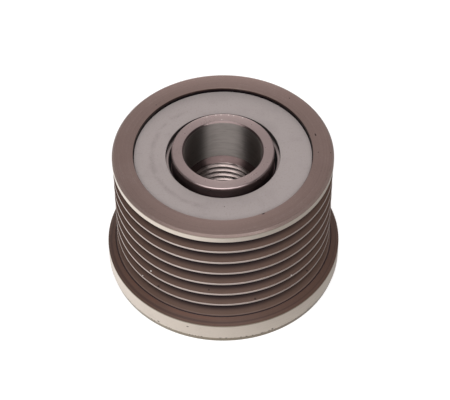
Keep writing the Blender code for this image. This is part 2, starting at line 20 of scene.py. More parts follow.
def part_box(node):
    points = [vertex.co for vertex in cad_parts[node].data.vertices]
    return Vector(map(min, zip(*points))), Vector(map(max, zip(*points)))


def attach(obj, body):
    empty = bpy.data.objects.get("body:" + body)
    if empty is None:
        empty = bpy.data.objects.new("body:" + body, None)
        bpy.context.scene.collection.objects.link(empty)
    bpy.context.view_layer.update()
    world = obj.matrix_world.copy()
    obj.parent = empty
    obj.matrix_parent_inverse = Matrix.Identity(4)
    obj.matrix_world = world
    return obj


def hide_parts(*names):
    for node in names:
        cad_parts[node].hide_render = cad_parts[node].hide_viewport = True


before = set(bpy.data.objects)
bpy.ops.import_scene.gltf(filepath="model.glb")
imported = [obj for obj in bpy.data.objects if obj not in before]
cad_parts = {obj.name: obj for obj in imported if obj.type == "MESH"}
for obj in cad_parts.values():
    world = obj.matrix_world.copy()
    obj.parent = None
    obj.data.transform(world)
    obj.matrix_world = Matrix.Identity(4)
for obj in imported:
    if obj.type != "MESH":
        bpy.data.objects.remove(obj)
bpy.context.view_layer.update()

MM = 0.001
TURN = 2 * math.pi
LOG = logging.getLogger("alternator_pulley")


class Body(str, Enum):
    """The bodies that the pieces ride on."""

    HUB = "hub"
    PULLEY = "pulley"
    CLUTCH_ROLLERS = "clutch_rollers"
    REAR_CAGE = "rear_cage"
    FRONT_CAGE = "front_cage"


class Slot(str, Enum):
    """The material slots of the record."""

    COATED_STEEL = "coated_steel"
    PLATE_STEEL = "plate_steel"
    HUB_STEEL = "hub_steel"
    HARDENED_STEEL = "hardened_steel"
    ROLLER_STEEL = "roller_steel"
    SPRING_STEEL = "spring_steel"
    SEAL_STEEL = "seal_steel"
    SEAL_RUBBER = "seal_rubber"
    CAGE_POLYMER = "cage_polymer"


class Side(Enum):
    """The two ends of the pulley, with the direction from the end's face inwards."""

    REAR = -1
    FRONT = 1

    @property
    def label(self) -> str:
        """The word that names the pieces of this end."""
        return self.name.lower()


class Corner(NamedTuple):
    """A corner of a turned profile: its radius, its height and the size of its rounding."""

    radius: float
    height: float
    rounding: float = 0.0


Profile = list[Corner]


class Field:
    """A number that flows through a node tree, with the usual arithmetic."""

    def __init__(self, tree: bpy.types.NodeTree, socket: bpy.types.NodeSocket) -> None:
        """Wrap an output socket of a tree."""
        self.tree = tree
        self.socket = socket

    def apply(self, operation: str, *others: "Field | float") -> "Field":
        """The result of a math node on this number and further operands."""
        node = add_node(self.tree, "ShaderNodeMath", self, *others, operation=operation)
        return Field(self.tree, node.outputs[0])

    __add__ = partialmethod(apply, "ADD")
    __sub__ = partialmethod(apply, "SUBTRACT")
    __mul__ = partialmethod(apply, "MULTIPLY")
    __truediv__ = partialmethod(apply, "DIVIDE")
    at_least = partialmethod(apply, "MAXIMUM")
    at_most = partialmethod(apply, "MINIMUM")

    def ramp(self, start: float, end: float, low: float = 0.0, high: float = 1.0) -> "Field":
        """Map this number smoothly from one span to another.

        Args:
            start: The value that gives low.
            end: The value that gives high.
            low: The result at and before start.
            high: The result at and past end.

        Returns:
            The mapped field.
        """
        values = (self, start, end, low, high)
        node = add_node(self.tree, "ShaderNodeMapRange", *values, interpolation_type="SMOOTHSTEP")
        return Field(self.tree, node.outputs[0])

    def edge(self, place: float, start: float, end: float, low: float = 0.0, high: float = 1.0) -> "Field":
        """A ramp whose start and end are given in millimetres from a place."""
        return self.ramp(place + start * MM, place + end * MM, low, high)

    def about(self, place: float, outer: float, inner: float) -> "Field":
        """A field that is 0 from outer millimetres off a place and 1 within inner of it."""
        return (self - place).apply("ABSOLUTE").ramp(outer * MM, inner * MM)


def plug(tree: bpy.types.NodeTree, socket: bpy.types.NodeSocket, value: object) -> None:
    """Link a field or an output socket to an input socket, or set a plain value or a colour on it.

    Args:
        tree: The tree that the sockets are in.
        socket: The input socket.
        value: The field, socket, plain value or colour.
    """
    if isinstance(value, Field):
        value = value.socket
    if isinstance(value, bpy.types.NodeSocket):
        tree.links.new(value, socket)
    else:
        socket.default_value = (*value, 1.0) if socket.type == "RGBA" else value


def add_node(tree: bpy.types.NodeTree, kind: str, *values: object, **named: object) -> bpy.types.Node:
    """Add a node to a tree.

    Args:
        tree: The tree.
        kind: The node's type.
        values: What its first inputs take, in order.
        named: Its properties, and its inputs by their capitalised names with _ for a space.

    Returns:
        The node.
    """
    node = tree.nodes.new(kind)
    for label in filter(str.islower, named):
        setattr(node, label, named[label])
    for socket, value in zip(node.inputs, values):
        plug(tree, socket, value)
    plug_named(tree, node, {label: value for label, value in named.items() if not label.islower()})
    return node


def plug_named(tree: bpy.types.NodeTree, node: bpy.types.Node, values: dict[str, object]) -> None:
    """Plug inputs of a node by their names, with _ for a space."""
    for label, value in values.items():
        plug(tree, node.inputs[label.replace("_", " ")], value)


def vector_of(tree: bpy.types.NodeTree, *parts: object) -> bpy.types.NodeSocket:
    """Combine three numbers or fields into a vector socket."""
    return add_node(tree, "ShaderNodeCombineXYZ", *parts).outputs[0]


def parts_of(tree: bpy.types.NodeTree, vector: bpy.types.NodeSocket) -> list[Field]:
    """Split a vector socket into its three fields."""
    return [Field(tree, part) for part in add_node(tree, "ShaderNodeSeparateXYZ", vector).outputs]


Color = tuple[float, float, float]
# Places of the colour sockets among a Mix node's inputs and outputs.
MIX_A, MIX_B, MIX_RESULT = 6, 7, 2


def layered(tree: bpy.types.NodeTree, color: object, *layers: tuple[Field, object]) -> bpy.types.NodeSocket:
    """Lay colours over each other.

    Args:
        tree: The tree.
        color: The lowest colour, as a colour or a socket.
        layers: The share, from 0 to 1, and the colour of each layer, from the lowest up.

    Returns:
        The socket of the blended colour.
    """
    for share, tone in layers:
        node = add_node(tree, "ShaderNodeMix", share, data_type="RGBA")
        plug(tree, node.inputs[MIX_A], color)
        plug(tree, node.inputs[MIX_B], tone)
        color = node.outputs[MIX_RESULT]
    return color


class Surface:
    """The node tree of one material, with the places and patterns that the finishes share."""

    ACROSS_THE_MARKS = 0.25

    def __init__(self, name: str, roughness: float, metallic: float) -> None:
        """Start a material.

        Args:
            name: Its name.
            roughness: Its uniform roughness.
            metallic: Its uniform metallic value.
        """
        self.material = bpy.data.materials.new(name)
        self.material.use_nodes = True
        self.tree = self.material.node_tree
        self.shader = self.tree.nodes["Principled BSDF"]
        self.set(Roughness=roughness, Metallic=metallic)
        self.place = add_node(self.tree, "ShaderNodeTexCoord").outputs["Object"]
        x, y, self.height = parts_of(self.tree, self.place)
        self.radius = (x * x + y * y).apply("SQRT")
        self.angle = y.apply("ARCTAN2", x)

    def set(self, **values: object) -> None:
        """Set or link inputs of the shader, named with _ for a space."""
        plug_named(self.tree, self.shader, values)

    def noise(self, size: float, detail: float = 3.0, place: bpy.types.NodeSocket | None = None) -> Field:
        """A cloudy pattern.

        Args:
            size: The length of its features, in metres.
            detail: The octaves of finer pattern.
            place: The vector that it reads, or the object coordinates.

        Returns:
            A field around one half.
        """
        values = {"Scale": 1.0 / size, "Detail": detail, "Vector": place or self.place}
        return Field(self.tree, add_node(self.tree, "ShaderNodeTexNoise", **values).outputs["Fac"])

    def turning_marks(self, width: float, wander: float = 0.15 * MM, detail: float = 2.0) -> Field:
        """Fine rings of a lathe tool, which follow radius and height and fade a little round the piece.

        Args:
            width: The width of a mark.
            wander: How far the pattern shifts for a radian of turn.
            detail: The octaves of finer marks.

        Returns:
            A field around one half.
        """
        return self.noise(width, detail, vector_of(self.tree, self.radius, self.height, self.angle * wander))

    def layers(self, color: object, *layers: tuple[Field, object]) -> bpy.types.NodeSocket:
        """Lay colours over each other, from the lowest up."""
        return layered(self.tree, color, *layers)

    @staticmethod
    def uneven(*parts: tuple[Field, float]) -> Field:
        """The sum of some patterns, each taken about one half and weighted."""
        first, *others = [(pattern - 0.5) * weight for pattern, weight in parts]
        return sum(others, first)

    def relief(self, height: Field, depth: float) -> None:
        """Bump the surface, on top of the bumps that it has.

        Args:
            height: The height field, of 0 to 1.
            depth: Its full depth in metres.
        """
        node = add_node(self.tree, "ShaderNodeBump", Strength=1.0, Distance=depth, Height=height)
        normal = self.shader.inputs["Normal"]
        if normal.is_linked:
            self.tree.links.new(normal.links[0].from_socket, node.inputs["Normal"])
        self.set(Normal=node.outputs["Normal"])

    def brushed_round(self, amount: float) -> None:
        """Spread the gloss across the turning marks, which run round the axis."""
        tangent = add_node(self.tree, "ShaderNodeTangent", direction_type="RADIAL", axis="Z").outputs[0]
        self.set(Tangent=tangent, Anisotropic=amount, Anisotropic_Rotation=self.ACROSS_THE_MARKS)


@dataclass(frozen=True)
class Speck:
    """A small mark on a surface, placed by its angle, radius and height about the axis."""

    angle: float
    radius: float
    height: float
    size: float
    length: float = 1.0

    def mask(self, surface: Surface) -> Field:
        """Draw the mark, which runs round the axis if it is long.

        Args:
            surface: The surface that it is on.

        Returns:
            A field that is 1 on the mark and 0 past its edge.
        """
        turn = math.radians(self.angle)
        spot = add_node(
            surface.tree,
            "ShaderNodeMapping",
            vector_type="TEXTURE",
            Vector=surface.place,
            Location=(self.radius * math.cos(turn), self.radius * math.sin(turn), self.height),
            Rotation=(0.0, 0.0, turn),
            Scale=(self.size, self.size * self.length, self.size),
        )
        reach = add_node(surface.tree, "ShaderNodeVectorMath", spot.outputs[0], operation="LENGTH")
        return Field(surface.tree, reach.outputs["Value"]).ramp(1.2, 0.7)


def joined(surface: Surface, specks: tuple[Speck, ...]) -> Field:
    """The mask of several marks together."""
    return reduce(lambda whole, mask: whole.at_least(mask), [speck.mask(surface) for speck in specks])


@dataclass(frozen=True)
class RingFinish:
    """Turned steel with a thin brown coat in the grooves and on the flange face, with painted shade that
    darkens it under the crests and on the flange face.
    """

    bare: Color = (0.62, 0.55, 0.485)
    face: Color = (0.282, 0.213, 0.193)
    crest: Color = (0.465, 0.397, 0.367)
    # chamfer: painted shade that dims the rim chamfer's reflection
    chamfer: Color = (0.195, 0.142, 0.127)
    coat: Color = (0.106, 0.066, 0.052)
    # flange: painted shade on the flange face, darker than the coat
    flange: Color = (0.088, 0.052, 0.041)
    # deep: near-black, for the painted shadow in the grooves, painted shade in the recess and at the root
    # line, and dark streaks
    deep: Color = (0.018, 0.012, 0.015)
    stain: Color = (0.116, 0.056, 0.041)
    # foot: painted shade on the foot chamfer, where it mirrors the shadowed floor
    foot: Color = (0.275, 0.225, 0.165)
    # painted dark lines along the flange's upper edge and the top of the rim land, in place of their
    # reflections
    painted_edge_shade: Color = (0.185, 0.155, 0.105)
    mark: Color = (0.03, 0.022, 0.02)
    bright: Color = (0.85, 0.82, 0.78)
    roughness: float = 0.33
    brushed: float = 0.45
    oxide: float = 0.9
    chamfer_oxide: float = 0.8
    dullness: float = 0.1
    marks: tuple[Speck, ...] = (
        Speck(13.8, 20.83 * MM, 33.4 * MM, 0.16 * MM, 2.6),
        Speck(-0.7, 20.64 * MM, 33.4 * MM, 0.13 * MM),
        Speck(-1.1, 23.33 * MM, 33.4 * MM, 0.12 * MM),
        Speck(47.4, 22.01 * MM, 33.4 * MM, 0.14 * MM),
        Speck(135.7, 20.57 * MM, 33.4 * MM, 0.12 * MM),
        Speck(-64.7, 19.62 * MM, 33.4 * MM, 0.24 * MM, 1.5),
        Speck(-127.1, 23.69 * MM, 10.67 * MM, 0.27 * MM),
        Speck(-73.2, 23.58 * MM, 10.71 * MM, 0.24 * MM),
        Speck(-38.8, 23.58 * MM, 10.71 * MM, 0.24 * MM),
        Speck(-98.0, 23.19 * MM, 14.41 * MM, 0.2 * MM),
        Speck(-123.7, 26.2 * MM, 1.9 * MM, 0.2 * MM, 1.6),
        Speck(-107.8, 26.2 * MM, 4.06 * MM, 0.16 * MM, 1.8),
        Speck(-66.0, 26.2 * MM, 1.75 * MM, 0.18 * MM, 1.5),
    )
    glints: tuple[Speck, ...] = (
        Speck(-132.2, 23.6 * MM, 14.27 * MM, 0.14 * MM, 1.5),
        Speck(-138.4, 23.83 * MM, 10.62 * MM, 0.12 * MM),
        Speck(-52.0, 23.9 * MM, 14.16 * MM, 0.12 * MM),
    )

    def material(self, ring: "BeltRing") -> bpy.types.Material:
        """Build the material.

        Args:
            ring: The belt ring, whose sizes place the coat.

        Returns:
            The finished material.
        """
        skin = Surface("coated_turned_steel", self.roughness, 1.0)
        radius, height = skin.radius, skin.height
        land_top = ring.top - ring.rim_chamfer
        nick_middle = ring.root_radius + 0.2 * ring.nick_width
        rings = skin.turning_marks(0.22 * MM)
        lines = skin.turning_marks(0.42 * MM, 0.06 * MM, 3.0)
        clouds = skin.noise(6.0 * MM, 4.0)
        fine = skin.noise(0.35 * MM, 2.0)
        depth = radius.edge(ring.crest_radius, -0.015, -0.07)
        # painted shadow in the grooves, darker further in from the crests' radius
        painted_crest_shadow = radius.edge(ring.crest_radius, -0.5, -2.0)
        track = height.edge(ring.root_height, -0.1, 0.2) * height.edge(ring.land_bottom, 0.1, -0.1)
        cone = height.edge(ring.edge_height, -0.02, 0.06) * height.edge(ring.root_height, 0.4, 0.2)
        coated = (depth * track).at_least(cone)
        top = height.edge(land_top, -0.08, 0.0)
        # the rim chamfer, which takes painted shade
        bevel = radius.edge(ring.rim_radius - ring.rim_chamfer, -0.12, 0.0)
        # painted shade on the recess wall, darker further down
        recess = radius.edge(ring.recess_radius, 0.1, 0.04)
        corner = height.edge(ring.top, -0.2, -0.55, 0.45, 1.0)
        # the foot chamfer, which takes painted shade
        foot = height.edge(ring.foot_height, 0.05, -0.05)
        outer_edge = radius.edge(ring.flange_radius, -0.2, -0.1)
        # painted shade along the flange's upper edge and the top of the rim land
        painted_brow_shade = height.about(ring.edge_height - 0.08 * MM, 0.16, 0.06) * outer_edge
        painted_brink_shade = height.about(land_top - 0.1 * MM, 0.16, 0.06)
        nicks = height.about(ring.foot_height, 0.3, 0.1) * outer_edge
        nicks = nicks * skin.noise(0.5 * MM, 2.0).ramp(0.56, 0.62)
        # painted shade in the nick at the flange root; the nick itself is cut in the profile
        root = radius.about(nick_middle, ring.nick_width / MM, 0.5 * ring.nick_width / MM) * cone
        # painted highlight on a thin ridge just inside the flange root
        painted_ridge_highlight = radius.about(ring.root_radius - 0.24 * MM, 0.14, 0.04) * cone
        # face: the sloping flange face, which takes the painted shade of flange
        face = cone * radius.edge(ring.root_radius, 0.0, 0.1)
        rusty_side = skin.angle.ramp(-1.3, -1.75, 0.2, 1.0) * skin.angle.ramp(-3.0, -2.6)
        stains = lines.ramp(0.5, 0.6) * skin.noise(9.0 * MM, 2.0).ramp(0.36, 0.52) * face * rusty_side
        shade = skin.uneven((rings, 0.34), (clouds, 0.3), (fine, 0.22))
        color = skin.layers(
            skin.layers(self.bare, (track, self.crest)),
            # the rim face, with painted shade on its chamfer
            (top, skin.layers(self.face, (bevel, self.chamfer))),
            (coated, self.coat),
            # painted shade on the flange face
            (face, self.flange),
            # painted shadow in the grooves
            (depth * track * painted_crest_shadow, self.deep),
            # painted shade on the foot chamfer
            (foot, self.foot),
            # painted shade lines along the edges
            (painted_brow_shade.at_least(painted_brink_shade * 0.5) * 0.8, self.painted_edge_shade),
            # painted shade in the recess
            (recess, skin.layers(self.coat, (corner, self.deep))),
            (lines.ramp(0.47, 0.36) * face * 0.32, self.deep),
            (stains * 0.5, self.stain),
            # painted highlight on the ridge
            (painted_ridge_highlight * 0.08, self.crest),
            # painted shade in the root nick
            (root * 0.9, self.deep),
            (nicks * 0.75, self.mark),
            (shade.ramp(0.0, 0.35, 0.0, 0.5), self.mark),
            (shade.ramp(0.0, -0.4, 0.0, 0.3) * (coated * -0.9 + 1.0), self.bright),
            (joined(skin, self.marks) * 0.85, self.mark),
            (joined(skin, self.glints) * 0.8, self.bright),
        )
        oxidised = (coated * self.oxide).at_least(bevel * top * self.chamfer_oxide)
        skin.set(
            Base_Color=color,
            Roughness=skin.uneven((clouds, 0.16), (rings, 0.12)) + coated * 0.14 + self.roughness,
            Metallic=oxidised * -1.0 + 1.0,
            Specular_IOR_Level=self.dullness,
        )
        skin.relief(rings, 0.006 * MM)
        skin.relief(skin.noise(0.25 * MM, 3.0), 0.004 * MM)
        skin.brushed_round(self.brushed)
        return skin.material


@dataclass(frozen=True)
class PlateFinish:
    """Matte grey phosphated sheet with faint rubbed arcs."""

    base: Color = (0.352, 0.311, 0.303)
    rubbed: Color = (0.19, 0.16, 0.155)
    mark: Color = (0.06, 0.045, 0.045)
    roughness: float = 0.6
    metallic: float = 0.25
    deep: Color = (0.02, 0.015, 0.016)
    arc_radius: float = 15.5 * MM
    dot: Speck = Speck(-89.1, 14.94 * MM, 32.45 * MM, 0.13 * MM)

    def material(self, plate: "CoverPlate") -> bpy.types.Material:
        """Build the material.

        Args:
            plate: The cover plate, the wall of whose eye is dark.

        Returns:
            The finished material.
        """
        skin = Surface("phosphated_plate", self.roughness, self.metallic)
        grain = skin.noise(0.4 * MM, 4.0)
        clouds = skin.noise(5.0 * MM, 3.0)
        where = skin.angle.apply("ABSOLUTE").ramp(2.0, 2.3).at_least(skin.angle.ramp(-1.6, -1.9))
        arcs = skin.radius.about(self.arc_radius, 1.0, 0.0) * where
        arcs = arcs * skin.noise(0.22 * MM, 4.0).ramp(0.3, 0.7, 0.5, 1.0)
        arcs = arcs * skin.noise(3.2 * MM, 3.0).ramp(0.34, 0.62)
        color = skin.layers(
            self.base,
            (arcs * 0.42, self.rubbed),
            (grain.ramp(0.52, 0.75, 0.0, 0.22), self.rubbed),
            (clouds.ramp(0.5, 0.75, 0.0, 0.16), self.rubbed),
            (self.dot.mask(skin) * 0.8, self.mark),
            (skin.radius.edge(plate.eye_radius, 0.12, 0.04) * 0.9, self.deep),
        )
        skin.set(Base_Color=color, Roughness=skin.uneven((clouds, 0.1), (grain, 0.1)) + self.roughness)
        skin.relief(grain, 0.008 * MM)
        skin.relief(skin.turning_marks(0.6 * MM), 0.003 * MM)
        return skin.material


@dataclass(frozen=True)
class HubFinish:
    """Turned hub steel: a fine pinkish end face and a bright cut thread."""

    face: Color = (0.412, 0.34, 0.332)
    shoulder: Color = (0.082, 0.057, 0.055)
    thread: Color = (0.315, 0.255, 0.242)
    # side: painted shade on the hub's side wall in the gap, and on part of its rounded edge
    side: Color = (0.24, 0.172, 0.172)
    mark: Color = (0.05, 0.04, 0.04)
    # chamfer: painted shade that dims the bore mouth chamfer's reflection
    chamfer: Color = (0.14, 0.105, 0.102)
    bright: Color = (0.85, 0.82, 0.80)
    roughness: float = 0.31
    brushed: float = 0.6
    glint_angles: tuple[float, ...] = (66.0, 77.0, 83.0, 92.0, 98.0, 109.0)

    def material(self, hub: "HubSleeve") -> bpy.types.Material:
        """Build the material.

        Args:
            hub: The hub sleeve, whose sizes place the zones.

        Returns:
            The finished material.
        """
        skin = Surface("turned_hub_steel", self.roughness, 1.0)
        radius, height = skin.radius, skin.height
        rings = skin.turning_marks(0.16 * MM)
        clouds = skin.noise(3.5 * MM, 4.0)
        grain = skin.noise(0.5 * MM, 3.0)
        inside = radius.edge(hub.bore_radius, 0.12, 0.02)
        cut = height.edge(hub.lead, 0.12, 0.02)
        # the side wall, which takes painted shade
        outside = radius.ramp(hub.collar_radius - hub.edge_rounding, hub.collar_radius - 0.06 * MM)
        outside = outside * height.edge(hub.top, -0.16, -0.34)
        # the bore mouth chamfer, which takes painted shade
        mouth = radius.edge(hub.bore_radius + hub.bore_chamfer, 0.02, 0.0)
        # the rounded edge, partly darkened with painted shade to dim its highlight
        painted_brink_shade = ((radius - hub.collar_radius) / hub.edge_rounding).ramp(-0.8, -0.3)
        slanted = vector_of(skin.tree, skin.angle * 34.0 + height / (0.35 * MM), 0.0, 0.0)
        waves = {"wave_type": "BANDS", "bands_direction": "X", "Scale": 1.0, "Distortion": 1.5}
        chatter = add_node(skin.tree, "ShaderNodeTexWave", slanted, **waves).outputs["Fac"]
        scratches = Field(skin.tree, chatter).ramp(0.6, 0.95) * inside * cut
        scratches = scratches * skin.noise(1.8 * MM, 1.0).ramp(0.46, 0.6)
        shade = skin.uneven((rings, 0.22), (clouds, 0.32), (grain, 0.3))
        glints = [Speck(angle, 10.7 * MM, 33.86 * MM, 0.12 * MM, 1.6) for angle in self.glint_angles]
        glints.append(Speck(91.2, 9.28 * MM, 33.88 * MM, 0.15 * MM))
        color = skin.layers(
            self.face,
            # painted shade on the rounded edge and the side wall
            (painted_brink_shade * 0.45, self.side),
            (outside, self.side),
            # painted shade on the bore mouth chamfer
            (mouth, self.chamfer),
            (inside, self.shoulder),
            (inside * cut, self.thread),
            (shade.ramp(0.0, 0.35, 0.0, 0.45), self.mark),
            (shade.ramp(0.0, -0.4, 0.0, 0.22), self.bright),
            (joined(skin, tuple(glints)) * 0.7, self.bright),
            (scratches * 0.5, self.mark),
        )
        skin.set(Base_Color=color, Roughness=skin.uneven((clouds, 0.14), (grain, 0.14)) + self.roughness)
        skin.relief(rings, 0.005 * MM)
        skin.relief(grain, 0.003 * MM)
        skin.brushed_round(self.brushed)
        return skin.material


@dataclass(frozen=True)
class BoreFinish:
    """The ground pilot bore: warm grey steel with fine marks that run round it."""

    base: Color = (0.272, 0.243, 0.227)
    stain: Color = (0.165, 0.138, 0.132)
    roughness: float = 0.58
    brushed: float = 1.0

    def material(self) -> bpy.types.Material:
        """Build the material.

        Returns:
            The finished material.
        """
        skin = Surface("ground_bore_steel", self.roughness, 1.0)
        rings = skin.turning_marks(0.12 * MM, 0.5 * MM, 3.0)
        patches = skin.turning_marks(0.55 * MM, 1.6 * MM, 5.0)
        clouds = skin.noise(4.0 * MM, 2.0)
        color = skin.layers(
            self.base,
            ((patches * 0.6 + clouds * 0.4).ramp(0.42, 0.66, 0.0, 0.42), self.stain),
            (rings.ramp(0.5, 0.75, 0.0, 0.28), self.stain),
        )
        skin.set(Base_Color=color, Roughness=skin.uneven((patches, 0.2), (rings, 0.12)) + self.roughness)
        skin.relief(rings, 0.004 * MM)
        skin.brushed_round(self.brushed)
        return skin.material


@dataclass(frozen=True)
class PlainSteel:
    """Ground, rolled or pressed steel with fine marks round the axis."""

    name: str
    base: Color
    shade: Color
    roughness: float
    mark_width: float = 0.15 * MM
    brushed: float = 0.3

    def material(self) -> bpy.types.Material:
        """Build the material.

        Returns:
            The finished material.
        """
        skin = Surface(self.name, self.roughness, 1.0)
        rings = skin.turning_marks(self.mark_width)
        clouds = skin.noise(2.5 * MM, 3.0)
        color = skin.layers(self.base, ((rings * 0.5 + clouds * 0.5).ramp(0.4, 0.75), self.shade))
        skin.set(Base_Color=color, Roughness=skin.uneven((clouds, 0.12), (rings, 0.08)) + self.roughness)
        skin.relief(rings, 0.003 * MM)
        skin.brushed_round(self.brushed)
        return skin.material


@dataclass(frozen=True)
class MouldedFinish:
    """Rubber or polymer with a fine grain and a faint bloom."""

    name: str
    base: Color
    bloom: Color
    roughness: float
    grain: float = 0.2 * MM

    def material(self) -> bpy.types.Material:
        """Build the material.

        Returns:
            The finished material.
        """
        skin = Surface(self.name, self.roughness, 0.0)
        grain = skin.noise(self.grain, 4.0)
        clouds = skin.noise(3.0 * MM, 3.0)
        color = skin.layers(self.base, ((grain * 0.4 + clouds * 0.6).ramp(0.45, 0.7, 0.0, 0.7), self.bloom))
        skin.set(Base_Color=color, Roughness=skin.uneven((clouds, 0.2), (grain, 0.15)) + self.roughness)
        skin.relief(grain, 0.01 * MM)
        return skin.material


HARDENED = PlainSteel("ground_race_steel", (0.56, 0.55, 0.54), (0.40, 0.38, 0.37), 0.26)
ROLLER = PlainSteel("ground_roller_steel", (0.72, 0.72, 0.72), (0.58, 0.57, 0.57), 0.14, 0.3 * MM, 0.0)
SPRING = PlainSteel("rolled_spring_strip", (0.55, 0.52, 0.46), (0.40, 0.36, 0.30), 0.24, 0.4 * MM, 0.0)
SEAL_STEEL = PlainSteel("pressed_seal_steel", (0.50, 0.45, 0.435), (0.36, 0.31, 0.30), 0.34)
RUBBER = MouldedFinish("seal_rubber", (0.018, 0.017, 0.018), (0.05, 0.046, 0.045), 0.62)
POLYMER = MouldedFinish("moulded_cage_polymer", (0.075, 0.066, 0.055), (0.12, 0.105, 0.09), 0.5, 0.12 * MM)


class Mesher:
    """Helpers that turn profiles and rows of points into clean meshes."""

    WELD = 1e-7
    SMOOTH_ANGLE = math.radians(28.0)

    @staticmethod
    def outline(corners: Profile, steps: int = 3) -> list[tuple[float, float]]:
        """Round the corners of a closed profile.

        Args:
            corners: The corners in order round the profile.
            steps: The facets of each rounding.

        Returns:
            The (radius, height) points of the rounded profile.
        """
        points = []
        for i, corner in enumerate(corners):
            here = Vector(corner[:2])
            if corner.rounding <= 0.0:
                points.append(tuple(here))
                continue
            ends = []
            for other in (corners[i - 1], corners[(i + 1) % len(corners)]):
                side = Vector(other[:2]) - here
                ends.append(here + side.normalized() * min(corner.rounding, 0.45 * side.length))
            for step in range(steps + 1):
                t = step / steps
                point = ends[0] * (1 - t) ** 2 + here * 2 * t * (1 - t) + ends[1] * t**2
                points.append(tuple(point))
        return points

    @staticmethod
    def cleaned(data: bpy.types.Mesh, weld: float = WELD) -> bpy.types.Mesh:
        """Weld a mesh, drop its degenerate faces, point its faces outwards and shade it smooth.

        Args:
            data: The mesh.
            weld: The distance within which its points become one.

        Returns:
            The same mesh data.
        """
        form = bmesh.new()
        form.from_mesh(data)
        bmesh.ops.remove_doubles(form, verts=form.verts, dist=weld)
        bmesh.ops.dissolve_degenerate(form, edges=form.edges, dist=weld)
        bmesh.ops.triangulate(form, faces=[face for face in form.faces if len(face.verts) > 4])
        if form.calc_volume(signed=True) < 0:
            bmesh.ops.reverse_faces(form, faces=form.faces)
        form.to_mesh(data)
        form.free()
        data.shade_smooth()
        data.set_sharp_from_angle(angle=Mesher.SMOOTH_ANGLE)
        return data

    @staticmethod
    def skin(name: str, rows: list[np.ndarray]) -> bpy.types.Mesh:
        """Join rings of points, each with the same count, into one open skin of quads.

        Args:
            name: The mesh's name.
            rows: The rings, in order.

        Returns:
            The mesh data, not yet cleaned.
        """
        count = len(rows[0])
        faces = []
        for below in range(0, (len(rows) - 1) * count, count):
            above = below + count
            for i in range(count):
                j = (i + 1) % count
                faces.append((below + i, below + j, above + j, above + i))
        data = bpy.data.meshes.new(name)
        data.from_pydata([tuple(point) for ring in rows for point in ring], [], faces)
        return data

    @staticmethod
    def ring(radius: float | np.ndarray, height: float, count: int) -> np.ndarray:
        """A level ring of points round the axis, whose radius may vary with the angle."""
        angles = np.arange(count) * TURN / count
        return np.stack([radius * np.cos(angles), radius * np.sin(angles), np.full(count, height)], axis=1)

    @staticmethod
    def prism(name: str, outline: list[tuple[float, float]], low: float, high: float) -> bpy.types.Mesh:
        """Stand a closed XY outline up between two heights, with both ends filled.

        Args:
            name: The mesh's name.
            outline: The points of the outline, in order.
            low: The height of its lower end.
            high: The height of its upper end.

        Returns:
            The mesh data, not yet cleaned.
        """
        form = bmesh.new()
        base = form.faces.new([form.verts.new((x, y, low)) for x, y in outline])
        wall = bmesh.ops.extrude_face_region(form, geom=[base])
        raised = [part for part in wall["geom"] if isinstance(part, bmesh.types.BMVert)]
        bmesh.ops.translate(form, verts=raised, vec=(0.0, 0.0, high - low))
        data = bpy.data.meshes.new(name)
        form.to_mesh(data)
        form.free()
        return data

    @staticmethod
    def carved(name: str, body: bpy.types.Mesh, steps: list[tuple[str, bpy.types.Mesh]]) -> bpy.types.Mesh:
        """Cut or join meshes with Boolean modifiers.

        Args:
            name: The result's name.
            body: The mesh that is worked on.
            steps: Pairs of a Boolean operation and the mesh that it uses.

        Returns:
            The resulting mesh data.
        """
        thing = set_down(name, body)
        tools = []
        for operation, data in steps:
            tools.append(set_down(name + "_tool", data))
            modifier = thing.modifiers.new(operation, "BOOLEAN")
            modifier.operation = operation
            modifier.solver = "EXACT"
            modifier.object = tools[-1]
        return baked(name, thing, *tools)


def set_down(name: str, data: bpy.types.ID) -> bpy.types.Object:
    """Add an object with its data to the scene."""
    thing = bpy.data.objects.new(name, data)
    bpy.context.scene.collection.objects.link(thing)
    return thing


def baked(name: str, thing: bpy.types.Object, *tools: bpy.types.Object) -> bpy.types.Mesh:
    """Keep an object's evaluated form as plain mesh data.

    Args:
        name: The result's name.
        thing: The object, with its modifiers.
        tools: The objects that its modifiers use.

    Returns:
        The mesh data; the object and its tools are gone.
    """
    graph = bpy.context.evaluated_depsgraph_get()
    result = bpy.data.meshes.new_from_object(thing.evaluated_get(graph))
    for spare in (thing, *tools):
        bpy.data.objects.remove(spare, do_unlink=True)
    result.name = name
    return result


